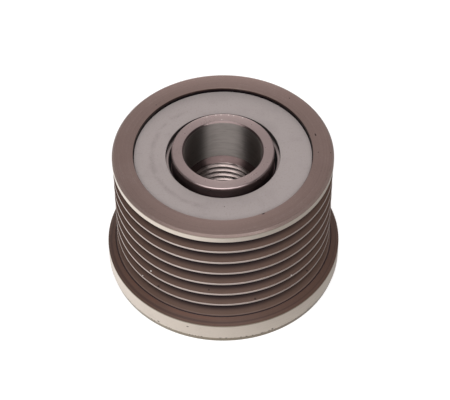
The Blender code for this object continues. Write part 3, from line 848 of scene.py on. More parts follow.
class GeometryTree:
    """A geometry node tree with named inputs, which ends in Realize Instances and Set Material."""

    MATERIAL = "Material"

    def __init__(self, name: str, inputs: dict[str, str]) -> None:
        """Start the tree.

        Args:
            name: The tree's name.
            inputs: The kind of socket of each named input, such as Float or Int.
        """
        self.tree = bpy.data.node_groups.new(name, "GeometryNodeTree")
        interface = self.tree.interface
        interface.new_socket("Geometry", in_out="INPUT", socket_type="NodeSocketGeometry")
        self.identifiers = {}
        for label, kind in {**inputs, self.MATERIAL: "Material"}.items():
            socket = interface.new_socket(label, in_out="INPUT", socket_type="NodeSocket" + kind)
            self.identifiers[label] = socket.identifier
        interface.new_socket("Geometry", in_out="OUTPUT", socket_type="NodeSocketGeometry")
        self.source = self.tree.nodes.new("NodeGroupInput")

    def node(self, kind: str, *values: object, **named: object) -> bpy.types.Node:
        """Add a node to this tree."""
        return add_node(self.tree, kind, *values, **named)

    def given(self, label: str) -> Field:
        """The field of a named input."""
        return Field(self.tree, self.source.outputs[label])

    def close(self, geometry: bpy.types.NodeSocket) -> None:
        """End the tree: make instances real, set the material and hand the geometry out.

        Args:
            geometry: The socket of the geometry, whose copies may still be instances.
        """
        real = self.node("GeometryNodeRealizeInstances", Geometry=geometry).outputs[0]
        material = self.source.outputs[self.MATERIAL]
        dressed = self.node("GeometryNodeSetMaterial", Geometry=real, Material=material)
        self.node("NodeGroupOutput", dressed.outputs[0])

    def grow(
        self, name: str, seed: bpy.types.Mesh, material: bpy.types.Material, **values: float
    ) -> bpy.types.Mesh:
        """Run the tree on a mesh and keep the result as plain mesh data.

        Args:
            name: The result's name.
            seed: The mesh that the tree starts from.
            material: The material that it sets.
            values: The named inputs, with _ for a space.

        Returns:
            The resulting mesh data.
        """
        carrier = set_down(name, seed)
        modifier = carrier.modifiers.new(self.tree.name, "NODES")
        modifier.node_group = self.tree
        for label, value in {**values, self.MATERIAL: material}.items():
            modifier[self.identifiers[label.replace("_", " ")]] = value
        return baked(name, carrier)


class TurningTree(GeometryTree):
    """Sweeps a closed profile once round the axis, along a circle of the datum radius."""

    DATUM = 1.0 * MM

    def __init__(self) -> None:
        """Build the tree."""
        super().__init__("Turned form", {"Segments": "Int", "Datum Radius": "Float"})
        profile = self.node("GeometryNodeMeshToCurve", Mesh=self.source.outputs["Geometry"]).outputs[0]
        sizes = {"Resolution": self.given("Segments"), "Radius": self.given("Datum Radius")}
        rail = self.node("GeometryNodeCurvePrimitiveCircle", **sizes).outputs[0]
        self.close(self.node("GeometryNodeCurveToMesh", Curve=rail, Profile_Curve=profile).outputs[0])

    def turn(
        self, name: str, corners: Profile, material: bpy.types.Material, segments: int
    ) -> bpy.types.Mesh:
        """Turn a profile of corners into a closed mesh of revolution.

        Args:
            name: The mesh's name.
            corners: The closed profile.
            material: Its finish.
            segments: The facets round the axis.

        Returns:
            The cleaned mesh data.
        """
        points = Mesher.outline(corners)
        seed = bpy.data.meshes.new(name + "_profile")
        edges = [(i, (i + 1) % len(points)) for i in range(len(points))]
        seed.from_pydata([(radius - self.DATUM, -height, 0.0) for radius, height in points], edges, [])
        data = self.grow(name, seed, material, Segments=segments, Datum_Radius=self.DATUM)
        return Mesher.cleaned(data)


class RingArrayTree(GeometryTree):
    """Sets copies of a piece on a pitch circle, each turned with its place."""

    def __init__(self) -> None:
        """Build the tree."""
        super().__init__("Ring of copies", {"Count": "Int", "Sector": "Float", "First Angle": "Float"})
        index = Field(self.tree, self.node("GeometryNodeInputIndex").outputs[0])
        turn = vector_of(self.tree, 0.0, 0.0, index * self.given("Sector") + self.given("First Angle"))
        placed = self.node(
            "GeometryNodeInstanceOnPoints",
            Points=self.node("GeometryNodePoints", Count=self.given("Count")).outputs[0],
            Instance=self.source.outputs["Geometry"],
            Rotation=self.node("FunctionNodeEulerToRotation", turn).outputs[0],
        )
        self.close(placed.outputs[0])

    def copies(
        self,
        name: str,
        piece: bpy.types.Mesh,
        material: bpy.types.Material,
        count: int,
        sector: float,
        first: float,
    ) -> bpy.types.Mesh:
        """Repeat a mesh round the axis.

        Args:
            name: The result's name.
            piece: The mesh, which stands where the copy at angle 0 is.
            material: The finish of all copies.
            count: How many copies are made.
            sector: The angle between two copies.
            first: The angle of the first copy.

        Returns:
            The cleaned mesh data of all copies.
        """
        data = self.grow(name, piece, material, Count=count, Sector=sector, First_Angle=first)
        return Mesher.cleaned(data)


class ThreadTree(GeometryTree):
    """Cuts an internal thread: the wall's rows follow the helix and its radius follows the thread form."""

    ROWS_PER_PITCH = 16
    CREST_SHARE = 1 / 8
    FLANK_SLOPE = math.tan(math.radians(60.0))
    DEPTH_SHARE = 0.541
    LENGTHS = (
        "Pitch",
        "Minor Radius",
        "Low",
        "High",
        "Lower Taper Radius",
        "Lower Taper Slope",
        "Upper Cone Radius",
        "Upper Cone Slope",
    )

    def __init__(self) -> None:
        """Build the tree."""
        super().__init__(
            "Internal thread", {"Segments": "Int", "Rows": "Int", **dict.fromkeys(self.LENGTHS, "Float")}
        )
        pitch, minor, low, high, taper, taper_slope, cone, cone_slope = map(self.given, self.LENGTHS)
        counts = {"Vertices X": self.given("Segments") + 1.0, "Vertices Y": self.given("Rows")}
        grid = self.node("GeometryNodeMeshGrid", Size_X=1.0, Size_Y=1.0, **counts).outputs[0]
        along, rising, _ = parts_of(self.tree, self.node("GeometryNodeInputPosition").outputs[0])
        around = along + 0.5
        upward = rising + 0.5
        turns = (high - low) / pitch + 1.0
        height = (low + (upward * turns - 1.0 + around) * pitch).at_least(low).at_most(high)
        phase = ((height - low) / pitch - around).apply("FRACT")
        across = (phase - 0.5).apply("ABSOLUTE") * pitch
        rise = ((across - pitch * self.CREST_SHARE) * self.FLANK_SLOPE).at_least(0.0)
        threaded = minor + rise.at_most(pitch * self.DEPTH_SHARE)
        lower_end = taper - (height - low) * taper_slope
        upper_end = cone - (high - height) * cone_slope
        radius = threaded.at_least(lower_end).at_least(upper_end)
        angle = around * TURN
        place = vector_of(self.tree, radius * angle.apply("COSINE"), radius * angle.apply("SINE"), height)
        self.close(self.node("GeometryNodeSetPosition", Geometry=grid, Position=place).outputs[0])


def add_piece(
    name: str, data: bpy.types.Mesh, body: str, nodes: tuple[str, ...]
) -> bpy.types.Object:
    """Add a finished piece, hang it on its body and let it stand for its solids.

    Args:
        name: The piece's name.
        data: Its mesh, which holds its place.
        body: The body that it rides on.
        nodes: The solids that it replaces.

    Returns:
        The object.
    """
    piece = set_down(name, data)
    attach(piece, body)
    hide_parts(*nodes)
    triangles = sum(len(face.vertices) - 2 for face in data.polygons)
    LOG.info("%s rides on %s with %d triangles", name, body, triangles)
    return piece


def dress(node: str, material: bpy.types.Material) -> None:
    """Give a solid that keeps its own mesh a finished material.

    Args:
        node: The solid's node.
        material: Its finish.
    """
    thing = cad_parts[node]
    thing.data.materials.clear()
    thing.data.materials.append(material)
    LOG.info("%s keeps its mesh", node)


def outer_radius(node: str) -> float:
    """The largest radius of a turned solid."""
    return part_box(node)[1].x


def span(node: str) -> tuple[float, float]:
    """The lowest and highest height of a solid."""
    low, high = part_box(node)
    return low.z, high.z


def band(
    outer: float, inner: float, low: float, high: float, rounding: float, under: float | None = None
) -> Profile:
    """The profile of a plain ring.

    Args:
        outer: Its outer radius.
        inner: Its inner radius.
        low: Its lower height.
        high: Its upper height.
        rounding: The rounding of its edges.
        under: The rounding of its lower edges, if they differ.

    Returns:
        The corners, from the outer upper one down and round.
    """
    below = rounding if under is None else under
    lower = [Corner(outer, low, below), Corner(inner, low, below)]
    return [Corner(outer, high, rounding), *lower, Corner(inner, high, rounding)]


def slab(inner: float, outer: float, width: float) -> list[tuple[float, float]]:
    """The outline of a straight bar along +X, between two radii."""
    half = width / 2
    return [(inner, -half), (outer, -half), (outer, half), (inner, half)]


@dataclass
class BeltRing:
    """The belt ring with its rim land, seven grooves and flange."""

    tree: TurningTree
    finish: RingFinish = RingFinish()
    rim_radius: float = 24.1 * MM
    rim_chamfer: float = 0.5 * MM
    rib_count: int = 7
    rib_pitch: float = 3.56 * MM
    first_groove: float = 3.51 * MM
    crest_radius: float = 24.0 * MM
    crest_width: float = 0.5 * MM
    crest_rounding: float = 0.13 * MM
    groove_slope: float = math.tan(math.radians(20.0))
    floor_width: float = 0.8 * MM
    root_radius: float = 24.35 * MM
    face_drop: float = 1.39 * MM
    nick_width: float = 0.14 * MM
    nick_depth: float = 0.11 * MM
    foot_chamfer: float = 0.35 * MM
    foot_height: float = 1.4 * MM
    pocket_radius: float = 17.404 * MM
    pocket_depth: float = 5.95 * MM
    pocket_chamfer: float = 0.5 * MM
    snap_depth: float = 0.6 * MM
    snap_width: float = 1.3 * MM
    snap_height: float = 1.9 * MM
    recess_radius: float = 19.474 * MM
    recess_chamfer: float = 0.08 * MM
    press_gap: float = 0.1 * MM
    segments: int = 288
    top: float = field(default_factory=lambda: span("pulley_ring")[1])
    flange_radius: float = field(default_factory=lambda: outer_radius("pulley_ring"))

    @property
    def half_mouth(self) -> float:
        """Half the width of a groove at the crest radius."""
        return (self.rib_pitch - self.crest_width) / 2

    @property
    def last_groove(self) -> float:
        """The height of the lowest groove's middle."""
        return self.top - self.first_groove - (self.rib_count - 1) * self.rib_pitch

    @property
    def land_bottom(self) -> float:
        """The height at which the rim land ends."""
        reach = self.half_mouth + (self.rim_radius - self.crest_radius) * self.groove_slope
        return self.top - self.first_groove + reach

    @property
    def root_height(self) -> float:
        """The height at which the lowest flank meets the flange."""
        return self.last_groove - self.half_mouth - (self.root_radius - self.crest_radius) * self.groove_slope

    @property
    def edge_height(self) -> float:
        """The height of the flange's upper edge."""
        return self.root_height - self.face_drop

    def belt_track(self) -> Profile:
        """Lay out the seven grooves.

        Returns:
            Their corners, from the rim land down to the flange root.
        """
        depth = (self.half_mouth - self.floor_width / 2) / self.groove_slope
        floor = self.crest_radius - depth
        corners = []
        for groove in range(self.rib_count):
            middle = self.top - self.first_groove - groove * self.rib_pitch
            upper = self.rim_radius if groove == 0 else self.crest_radius
            lower = self.root_radius if groove == self.rib_count - 1 else self.crest_radius
            above = middle + self.half_mouth + (upper - self.crest_radius) * self.groove_slope
            below = middle - self.half_mouth - (lower - self.crest_radius) * self.groove_slope
            corners.append(Corner(upper, above, self.crest_rounding))
            corners.append(Corner(floor, middle + self.floor_width / 2, 0.25 * MM))
            corners.append(Corner(floor, middle - self.floor_width / 2, 0.25 * MM))
            corners.append(Corner(lower, below, self.crest_rounding / 2))
        return corners

    def flange(self) -> Profile:
        """Lay out the flange.

        Returns:
            The corners of the nick at its root, the sloping face, the edge band and the foot.
        """
        slope = self.face_drop / (self.flange_radius - self.root_radius)
        nick = self.root_radius + self.nick_width / 2
        inner = self.root_radius + self.nick_width
        return [
            Corner(nick, self.root_height - self.nick_width / 2 * slope - self.nick_depth),
            Corner(inner, self.root_height - self.nick_width * slope, 0.02 * MM),
            Corner(self.flange_radius, self.edge_height, 0.1 * MM),
            Corner(self.flange_radius, self.foot_height, 0.12 * MM),
            Corner(self.flange_radius - self.foot_chamfer, 0.0, 0.08 * MM),
        ]

    def pocket(self) -> Profile:
        """Lay out the cap pocket.

        Returns:
            Its corners and its snap groove's, up to the shoulder of the race bore.
        """
        snap = self.pocket_radius + self.snap_depth
        return [
            Corner(self.pocket_radius + self.pocket_chamfer, 0.0, 0.06 * MM),
            Corner(self.pocket_radius, self.pocket_chamfer, 0.06 * MM),
            Corner(self.pocket_radius, self.snap_height, 0.04 * MM),
            Corner(snap, self.snap_height, 0.12 * MM),
            Corner(snap, self.snap_height + self.snap_width, 0.12 * MM),
            Corner(self.pocket_radius, self.snap_height + self.snap_width, 0.04 * MM),
            Corner(self.pocket_radius, self.pocket_depth, 0.05 * MM),
        ]

    def bore(self) -> Profile:
        """Lay out the race bore and the plate recess.

        Returns:
            Their corners, from the pocket up to the rim face.
        """
        bore = outer_radius("clutch_cup") + self.press_gap
        floor = span("rear_cover_plate")[0] - self.press_gap
        return [
            Corner(bore, self.pocket_depth),
            Corner(bore, floor, 0.05 * MM),
            Corner(self.recess_radius, floor),
            Corner(self.recess_radius, self.top - self.recess_chamfer, 0.05 * MM),
            Corner(self.recess_radius + self.recess_chamfer, self.top, 0.05 * MM),
        ]

    def build(self) -> None:
        """Turn the ring and let it stand for its solid."""
        rim = [
            Corner(self.rim_radius - self.rim_chamfer, self.top, 0.16 * MM),
            Corner(self.rim_radius, self.top - self.rim_chamfer, 0.1 * MM),
        ]
        corners = rim + self.belt_track() + self.flange() + self.pocket() + self.bore()
        data = self.tree.turn("belt_ring", corners, self.finish.material(self), self.segments)
        add_piece("belt_ring", data, Body.PULLEY.value, ("pulley_ring",))


@dataclass
class CoverPlate:
    """The grey disc in the recess of the rim face."""

    tree: TurningTree
    finish: PlateFinish = PlateFinish()
    eye_radius: float = 12.4 * MM
    edge_rounding: float = 0.14 * MM
    segments: int = 240

    def build(self) -> None:
        """Turn the plate and let it stand for its solid."""
        outer = outer_radius("rear_cover_plate")
        corners = band(outer, self.eye_radius, *span("rear_cover_plate"), self.edge_rounding, 0.05 * MM)
        data = self.tree.turn("cover_disc", corners, self.finish.material(self), self.segments)
        add_piece("cover_disc", data, Body.PULLEY.value, ("rear_cover_plate",))


@dataclass
class HubSleeve:
    """The hub sleeve with its pilot bore, cut thread, relief and serrated socket."""

    thread: ThreadTree
    finish: HubFinish = HubFinish()
    bore_finish: BoreFinish = BoreFinish()
    collar_radius: float = 11.17 * MM
    edge_rounding: float = 0.38 * MM
    bore_radius: float = 8.5 * MM
    bore_depth: float = 10.7 * MM
    bore_chamfer: float = 0.35 * MM
    minor_radius: float = 7.19 * MM
    thread_pitch: float = 1.5 * MM
    lead_height: float = 1.17 * MM
    socket_depth: float = 6.8 * MM
    socket_chamfer: float = 0.5 * MM
    tip_radius: float = 8.5 * MM
    root_radius: float = 9.2 * MM
    teeth: int = 33
    facets_per_tooth: int = 8
    relief_radius: float = 9.5 * MM
    relief_height: float = 1.0 * MM
    relief_taper: float = 1.2 * MM
    thread_turns: float = 7.125
    lead_share: float = 0.33
    weld: float = 1e-6
    seal_gap: float = 0.1 * MM
    front: float = field(default_factory=lambda: span("hub_sleeve")[0])
    top: float = field(default_factory=lambda: span("hub_sleeve")[1])
    body_radius: float = field(default_factory=lambda: outer_radius("hub_sleeve"))

    @property
    def shoulder(self) -> float:
        """The height at which the pilot bore meets the lead cone."""
        return self.top - self.bore_depth

    @property
    def lead(self) -> float:
        """The height at which the lead cone meets the thread's minor radius."""
        return self.shoulder - self.lead_height

    @property
    def lead_slope(self) -> float:
        """How fast the lead cone widens with height."""
        return (self.bore_radius - self.minor_radius) / self.lead_height

    @property
    def taper_slope(self) -> float:
        """How fast the relief's taper narrows with height."""
        return (self.relief_radius - self.minor_radius) / self.relief_taper

    @property
    def relief(self) -> float:
        """The height of the thread relief's upper end, where its taper starts."""
        return self.front + self.socket_depth

    @property
    def segments(self) -> int:
        """The facets round the axis, a whole number for each tooth of the socket."""
        return self.teeth * self.facets_per_tooth

    def cone_radius(self, height: float) -> float:
        """The radius of the lead cone at a height."""
        return self.minor_radius + (height - self.lead) * self.lead_slope

    def taper_radius(self, height: float) -> float:
        """The radius of the relief's taper at a height."""
        return self.relief_radius - (height - self.relief) * self.taper_slope

    def serration(self) -> np.ndarray:
        """The socket's radius at each facet: two facets each for tip, flank, root and flank."""
        across = np.arange(self.segments) % self.facets_per_tooth
        share = np.interp(across, [0, 2, 4, 6, 8], [0.0, 0.0, 1.0, 1.0, 0.0])
        return self.tip_radius + (self.root_radius - self.tip_radius) * share

    def threaded_wall(self, material: bpy.types.Material, high: float) -> tuple[bpy.types.Mesh, float]:
        """Cut the thread, which ends inside the taper and the lead cone.

        Args:
            material: The hub's finish.
            high: The height of its upper end, in the lead cone.

        Returns:
            The open wall and the height of its lower end.
        """
        low = high - self.thread_turns * self.thread_pitch
        data = self.thread.grow(
            "threaded_wall",
            bpy.data.meshes.new("thread_seed"),
            material,
            Segments=self.segments,
            Rows=round((self.thread_turns + 1) * ThreadTree.ROWS_PER_PITCH) + 1,
            Pitch=self.thread_pitch,
            Minor_Radius=self.minor_radius,
            Low=low,
            High=high,
            Lower_Taper_Radius=self.taper_radius(low),
            Lower_Taper_Slope=self.taper_slope,
            Upper_Cone_Radius=self.cone_radius(high),
            Upper_Cone_Slope=self.lead_slope,
        )
        return data, low

    def rows(self, low: float, high: float) -> list[np.ndarray]:
        """The rings of the sleeve without its thread, from the thread's upper end to its lower end.

        Args:
            low: The height of the thread's lower end.
            high: The height of the thread's upper end.

        Returns:
            The rings, up the bore, down the outside and up the socket.
        """
        rear_shoulder = span("rear_seal_case")[0] - self.seal_gap
        front_shoulder = span("front_seal_case")[1] + self.seal_gap
        corners = [
            Corner(self.cone_radius(high), high),
            Corner(self.bore_radius, self.shoulder, 0.1 * MM),
            Corner(self.bore_radius, self.top - self.bore_chamfer, 0.1 * MM),
            Corner(self.bore_radius + self.bore_chamfer, self.top, 0.1 * MM),
            Corner(self.collar_radius, self.top, self.edge_rounding),
            Corner(self.collar_radius, rear_shoulder),
            Corner(self.body_radius, rear_shoulder, 0.1 * MM),
            Corner(self.body_radius, front_shoulder, 0.1 * MM),
            Corner(self.collar_radius, front_shoulder),
            Corner(self.collar_radius, self.front, 0.3 * MM),
            Corner(self.root_radius, self.front),
        ]
        star = self.serration()
        mouth = np.maximum(star, (self.tip_radius + self.root_radius) / 2)
        socket_end = self.relief - self.relief_height
        inside = [
            (mouth, self.front + self.socket_chamfer / 2),
            (star, self.front + self.socket_chamfer),
            (star, socket_end),
            (self.relief_radius, socket_end),
            (self.relief_radius, self.relief),
            (self.taper_radius(low), low),
        ]
        outside = Mesher.outline(corners, steps=5)
        return [Mesher.ring(radius, height, self.segments) for radius, height in outside + inside]

    def build(self) -> None:
        """Make the sleeve in one skin with its thread and let it stand for its solid."""
        material = self.finish.material(self)
        high = self.shoulder - self.lead_height * self.lead_share
        wall, low = self.threaded_wall(material, high)
        body = Mesher.skin("hub_body", self.rows(low, high))
        body.materials.append(material)
        form = bmesh.new()
        for part in (wall, body):
            form.from_mesh(part)
            bmesh.ops.remove_doubles(form, verts=form.verts, dist=self.weld)
        bmesh.ops.recalc_face_normals(form, faces=form.faces)
        for facet in form.faces:
            facet.material_index = 0
        form.to_mesh(body)
        form.free()
        data = Mesher.cleaned(body, self.weld)
        data.name = "threaded_hub"
        data.materials.append(self.bore_finish.material())
        wall_end = self.bore_radius + 0.1 * self.bore_chamfer
        for facet in data.polygons:
            if facet.center.xy.length < wall_end and facet.center.z > self.shoulder:
                facet.material_index = 1
        add_piece("threaded_hub", data, Body.HUB.value, ("hub_sleeve",))


@dataclass
class LipSeal:
    """A pressed seal case with its rubber lip, at one end of the pulley."""

    tree: TurningTree
    side: Side
    case_wall: float = 0.6 * MM
    eye_radius: float = 11.8 * MM
    lip_gap: float = 0.1 * MM
    seat_gap: float = 0.1 * MM
    lip_thickness: float = 0.7 * MM
    lip_tip: float = 0.2 * MM
    lip_heel: float = 0.9 * MM
    collar_radius: float = 11.17 * MM
    segments: int = 200

    def build(self, steel: bpy.types.Material, rubber: bpy.types.Material) -> None:
        """Turn the case and the lip and let them stand for their solids.

        Args:
            steel: The case's finish.
            rubber: The lip's finish.
        """
        node = self.side.label + "_seal_case"
        low, high = span(node)
        face = high if self.side is Side.REAR else low
        height = high - low
        outer = outer_radius(node)
        wall = outer - self.case_wall
        bond = self.case_wall + self.seat_gap
        tip = self.collar_radius + self.lip_gap
        case = [
            Corner(outer, 0.0, 0.35 * MM),
            Corner(outer, height, 0.1 * MM),
            Corner(wall, height, 0.1 * MM),
            Corner(wall, self.case_wall, 0.12 * MM),
            Corner(self.eye_radius, self.case_wall, 0.15 * MM),
            Corner(self.eye_radius, 0.0, 0.2 * MM),
        ]
        lip = [
            Corner(wall - self.lip_gap, bond, 0.08 * MM),
            Corner(wall - self.lip_gap, bond + self.lip_thickness, 0.1 * MM),
            Corner(self.eye_radius + self.lip_heel, bond + self.lip_thickness, 0.3 * MM),
            Corner(tip + self.lip_tip, height, 0.08 * MM),
            Corner(tip, height - self.lip_tip, 0.08 * MM),
            Corner(self.eye_radius, bond, 0.1 * MM),
        ]
        for part, corners, material, slot in (
            ("seal_case", case, steel, Slot.SEAL_STEEL),
            ("seal_lip", lip, rubber, Slot.SEAL_RUBBER),
        ):
            solid = f"{self.side.label}_{part}"
            placed = [Corner(c.radius, face + self.side.value * c.height, c.rounding) for c in corners]
            data = self.tree.turn(solid + "_turned", placed, material, self.segments)
            add_piece(solid + "_turned", data, Body.PULLEY.value, (solid,))


@dataclass
class RaceCup:
    """The hardened sleeve on which all rollers run."""

    tree: TurningTree
    wall: float = 1.3 * MM
    chamfer: float = 0.2 * MM
    segments: int = 200

    def build(self) -> None:
        """Turn the cup and let it stand for its solid."""
        outer = outer_radius("clutch_cup")
        corners = band(outer, outer - self.wall, *span("clutch_cup"), self.chamfer)
        data = self.tree.turn("race_cup", corners, HARDENED.material(), self.segments)
        add_piece("race_cup", data, Body.PULLEY.value, ("clutch_cup",))


def roller(name: str, diameter: float, low: float, high: float, pitch_radius: float) -> bpy.types.Mesh:
    """A crowned roller with rounded ends and shallow end dimples, on the pitch circle at angle 0.

    Args:
        name: The mesh's name.
        diameter: Its diameter at the middle.
        low: The height of its lower end.
        high: The height of its upper end.
        pitch_radius: Its axis's distance from the shaft axis.

    Returns:
        The closed mesh data.
    """
    sides, edge, crown, dimple = 40, 0.22 * MM, 0.004 * MM, 0.12 * MM
    radius = diameter / 2
    middle = (low + high) / 2
    profile = [
        (dimple * 2, low + dimple / 2),
        (radius - edge * 1.6, low),
        (radius - edge, low),
        (radius - edge * 0.3, low + edge * 0.3),
        (radius - crown, low + edge),
        (radius, middle),
        (radius - crown, high - edge),
        (radius - edge * 0.3, high - edge * 0.3),
        (radius - edge, high),
        (radius - edge * 1.6, high),
        (dimple * 2, high - dimple / 2),
    ]
    rings = [Mesher.ring(across, height, sides) for across, height in profile]
    data = Mesher.skin(name, rings)
    form = bmesh.new()
    form.from_mesh(data)
    bmesh.ops.holes_fill(form, edges=[edge for edge in form.edges if edge.is_boundary], sides=0)
    bmesh.ops.translate(form, verts=form.verts, vec=(pitch_radius, 0.0, 0.0))
    bmesh.ops.recalc_face_normals(form, faces=form.faces)
    form.to_mesh(data)
    form.free()
    return data


@dataclass
class RollerBearing:
    """One support bearing: a moulded cage and twelve rollers, each on its own body."""

    turning: TurningTree
    array: RingArrayTree
    side: Side
    count: int = 12
    diameter: float = 4.0 * MM
    pitch_radius: float = 14.73 * MM
    cage_wall: float = 3.16 * MM
    pocket_width: float = 4.24 * MM
    pocket_length: float = 4.9 * MM
    edge_rounding: float = 0.2 * MM
    segments: int = 144

    def build(self, steel: bpy.types.Material, polymer: bpy.types.Material) -> None:
        """Make the cage with its pockets, and the rollers.

        Args:
            steel: The rollers' finish.
            polymer: The cage's finish.
        """
        name = self.side.label + "_bearing_cage"
        low, high = span(name)
        outer = outer_radius(name)
        corners = band(outer, outer - self.cage_wall, low, high, self.edge_rounding)
        cage = self.turning.turn(name + "_blank", corners, polymer, self.segments)
        middle = (low + high) / 2
        reach = 2 * self.cage_wall
        half = self.pocket_length / 2
        window = slab(self.pitch_radius - reach, self.pitch_radius + reach, self.pocket_width)
        pocket = Mesher.prism("pocket", window, middle - half, middle + half)
        sector = TURN / self.count
        pockets = self.array.copies(name + "_pockets", pocket, polymer, self.count, sector, 0.0)
        data = Mesher.cleaned(Mesher.carved(name + "_moulded", cage, [("DIFFERENCE", pockets)]))
        cage_body = Body.REAR_CAGE if self.side is Side.REAR else Body.FRONT_CAGE
        add_piece(name + "_moulded", data, cage_body.value, (name,))
        for i in range(self.count):
            node = f"{self.side.label}_roller_{i + 1:02d}"
            bottom, top = span(node)
            blank = roller(node + "_blank", self.diameter, bottom, top, self.pitch_radius)
            data = self.array.copies(node + "_ground", blank, steel, 1, sector, i * sector)
            add_piece(node + "_ground", data, node, (node,))


@dataclass
class OneWayClutch:
    """The one-way clutch: ramp ring, keyed cage, rollers on their ramps and folded leaf springs."""

    turning: TurningTree
    array: RingArrayTree
    count: int = 8
    roller_diameter: float = 3.0 * MM
    pitch_radius: float = 15.23 * MM
    wedge_angle: float = math.radians(7.0)
    cage_inner: float = 14.856 * MM
    cage_outer: float = 16.41 * MM
    end_wall: float = 0.75 * MM
    pocket_width: float = 7.392 * MM
    key_width: float = 1.6 * MM
    key_foot: float = 13.9 * MM
    key_inset: float = 0.4 * MM
    leaf: float = 0.18 * MM
    spring_height: float = 5.0 * MM
    spring_depth: float = 1.4 * MM
    folds: int = 5
    wall_gap: float = 0.25 * MM
    roller_gap: float = 0.32 * MM
    fold_rounding: float = 0.22 * MM
    edge_rounding: float = 0.12 * MM
    window_reach: float = 2.0 * MM
    segments: int = 144
    sector: float = TURN / 8

    def names(self, kind: str) -> tuple[str, ...]:
        """The node names of the eight pieces of a kind."""
        return tuple(f"{kind}_{i + 1:02d}" for i in range(self.count))

    def spring_outline(self) -> list[tuple[float, float]]:
        """Lay out one folded leaf with rounded folds, in the sector at angle 0.

        Returns:
            The points of its outline, in order.
        """
        roller_side = self.pitch_radius * math.sin(self.wedge_angle) - self.roller_diameter / 2
        start = -self.pocket_width / 2 + self.wall_gap + self.leaf / 2
        end = roller_side - self.roller_gap - self.leaf / 2
        middle = (self.cage_inner + self.cage_outer) / 2 - self.leaf
        folds = [
            Corner(
                middle + (1 if fold % 2 == 0 else -1) * self.spring_depth / 2,
                start + (end - start) * fold / self.folds,
                0.0 if fold in (0, self.folds) else self.fold_rounding,
            )
            for fold in range(self.folds + 1)
        ]
        line = [Vector(point) for point in Mesher.outline(folds, steps=5)]
        sides = []
        for i, point in enumerate(line):
            along = (line[min(i + 1, len(line) - 1)] - line[max(i - 1, 0)]).normalized()
            across = Vector((-along.y, along.x)) * self.leaf / 2
            sides.append((point + across, point - across))
        return [tuple(left) for left, _ in sides] + [tuple(right) for _, right in reversed(sides)]

    def repeated(
        self, name: str, piece: bpy.types.Mesh, material: bpy.types.Material, first: float = 0.0
    ) -> bpy.types.Mesh:
        """Repeat a mesh in every sector, from a first angle."""
        return self.array.copies(name, piece, material, self.count, self.sector, first)

    def build(self, steel: bpy.types.Material, polymer: bpy.types.Material) -> None:
        """Make the clutch's pieces.

        Args:
            steel: The rollers' finish.
            polymer: The cage's finish.
        """
        dress("ramp_ring", HARDENED.material())
        low, high = span("clutch_cage")
        corners = band(self.cage_outer, self.cage_inner, low, high, self.edge_rounding)
        cage = self.turning.turn("clutch_cage_blank", corners, polymer, self.segments)
        bar = slab(self.key_foot, (self.cage_inner + self.cage_outer) / 2, self.key_width)
        key = Mesher.prism("cage_key", bar, low + self.key_inset, high - self.key_inset)
        keys = self.repeated("cage_keys", key, polymer, self.sector / 2)
        near, far = self.cage_inner - self.window_reach, self.cage_outer + self.window_reach
        window = slab(near, far, self.pocket_width)
        pocket = Mesher.prism("clutch_pocket", window, low + self.end_wall, high - self.end_wall)
        pockets = self.repeated("clutch_pockets", pocket, polymer)
        carved = Mesher.carved("clutch_cage_moulded", cage, [("UNION", keys), ("DIFFERENCE", pockets)])
        moulded = Mesher.cleaned(carved)
        bottom, top = span("clutch_roller_01")
        blank = roller("clutch_roller_blank", self.roller_diameter, bottom, top, self.pitch_radius)
        rollers = self.repeated("clutch_rollers_ground", blank, steel, self.wedge_angle)
        middle = (low + high) / 2
        half = self.spring_height / 2
        leaf = Mesher.prism("leaf", self.spring_outline(), middle - half, middle + half)
        springs = self.repeated("clutch_springs_rolled", leaf, SPRING.material())
        hub, shifting = Body.HUB.value, Body.CLUTCH_ROLLERS.value
        add_piece("clutch_cage_moulded", moulded, hub, ("clutch_cage",))
        add_piece("clutch_rollers_ground", rollers, shifting, self.names("clutch_roller"))
        add_piece("clutch_springs_rolled", springs, hub, self.names("clutch_spring"))


@dataclass(frozen=True)
class SoftBox:
    """A soft rectangular lamp that faces the object, with its width held level."""

    name: str
    place: tuple[float, float, float]
    width: float
    depth: float
    power: float
    target: tuple[float, float, float] = (0.0, 0.0, 0.02)

    def hang(self) -> None:
        """Hang the lamp in the scene."""
        data = bpy.data.lights.new(self.name, "AREA")
        data.shape = "RECTANGLE"
        data.size = self.width
        data.size_y = self.depth
        data.energy = self.power
        lamp = set_down(self.name, data)
        back = (Vector(self.place) - Vector(self.target)).normalized()
        level = Vector((1.0, 0.0, 0.0))
        level = (level - back * level.dot(back)).normalized()
        turn = Matrix((level, back.cross(level), back)).transposed()
        lamp.matrix_world = Matrix.Translation(self.place) @ turn.to_4x4()


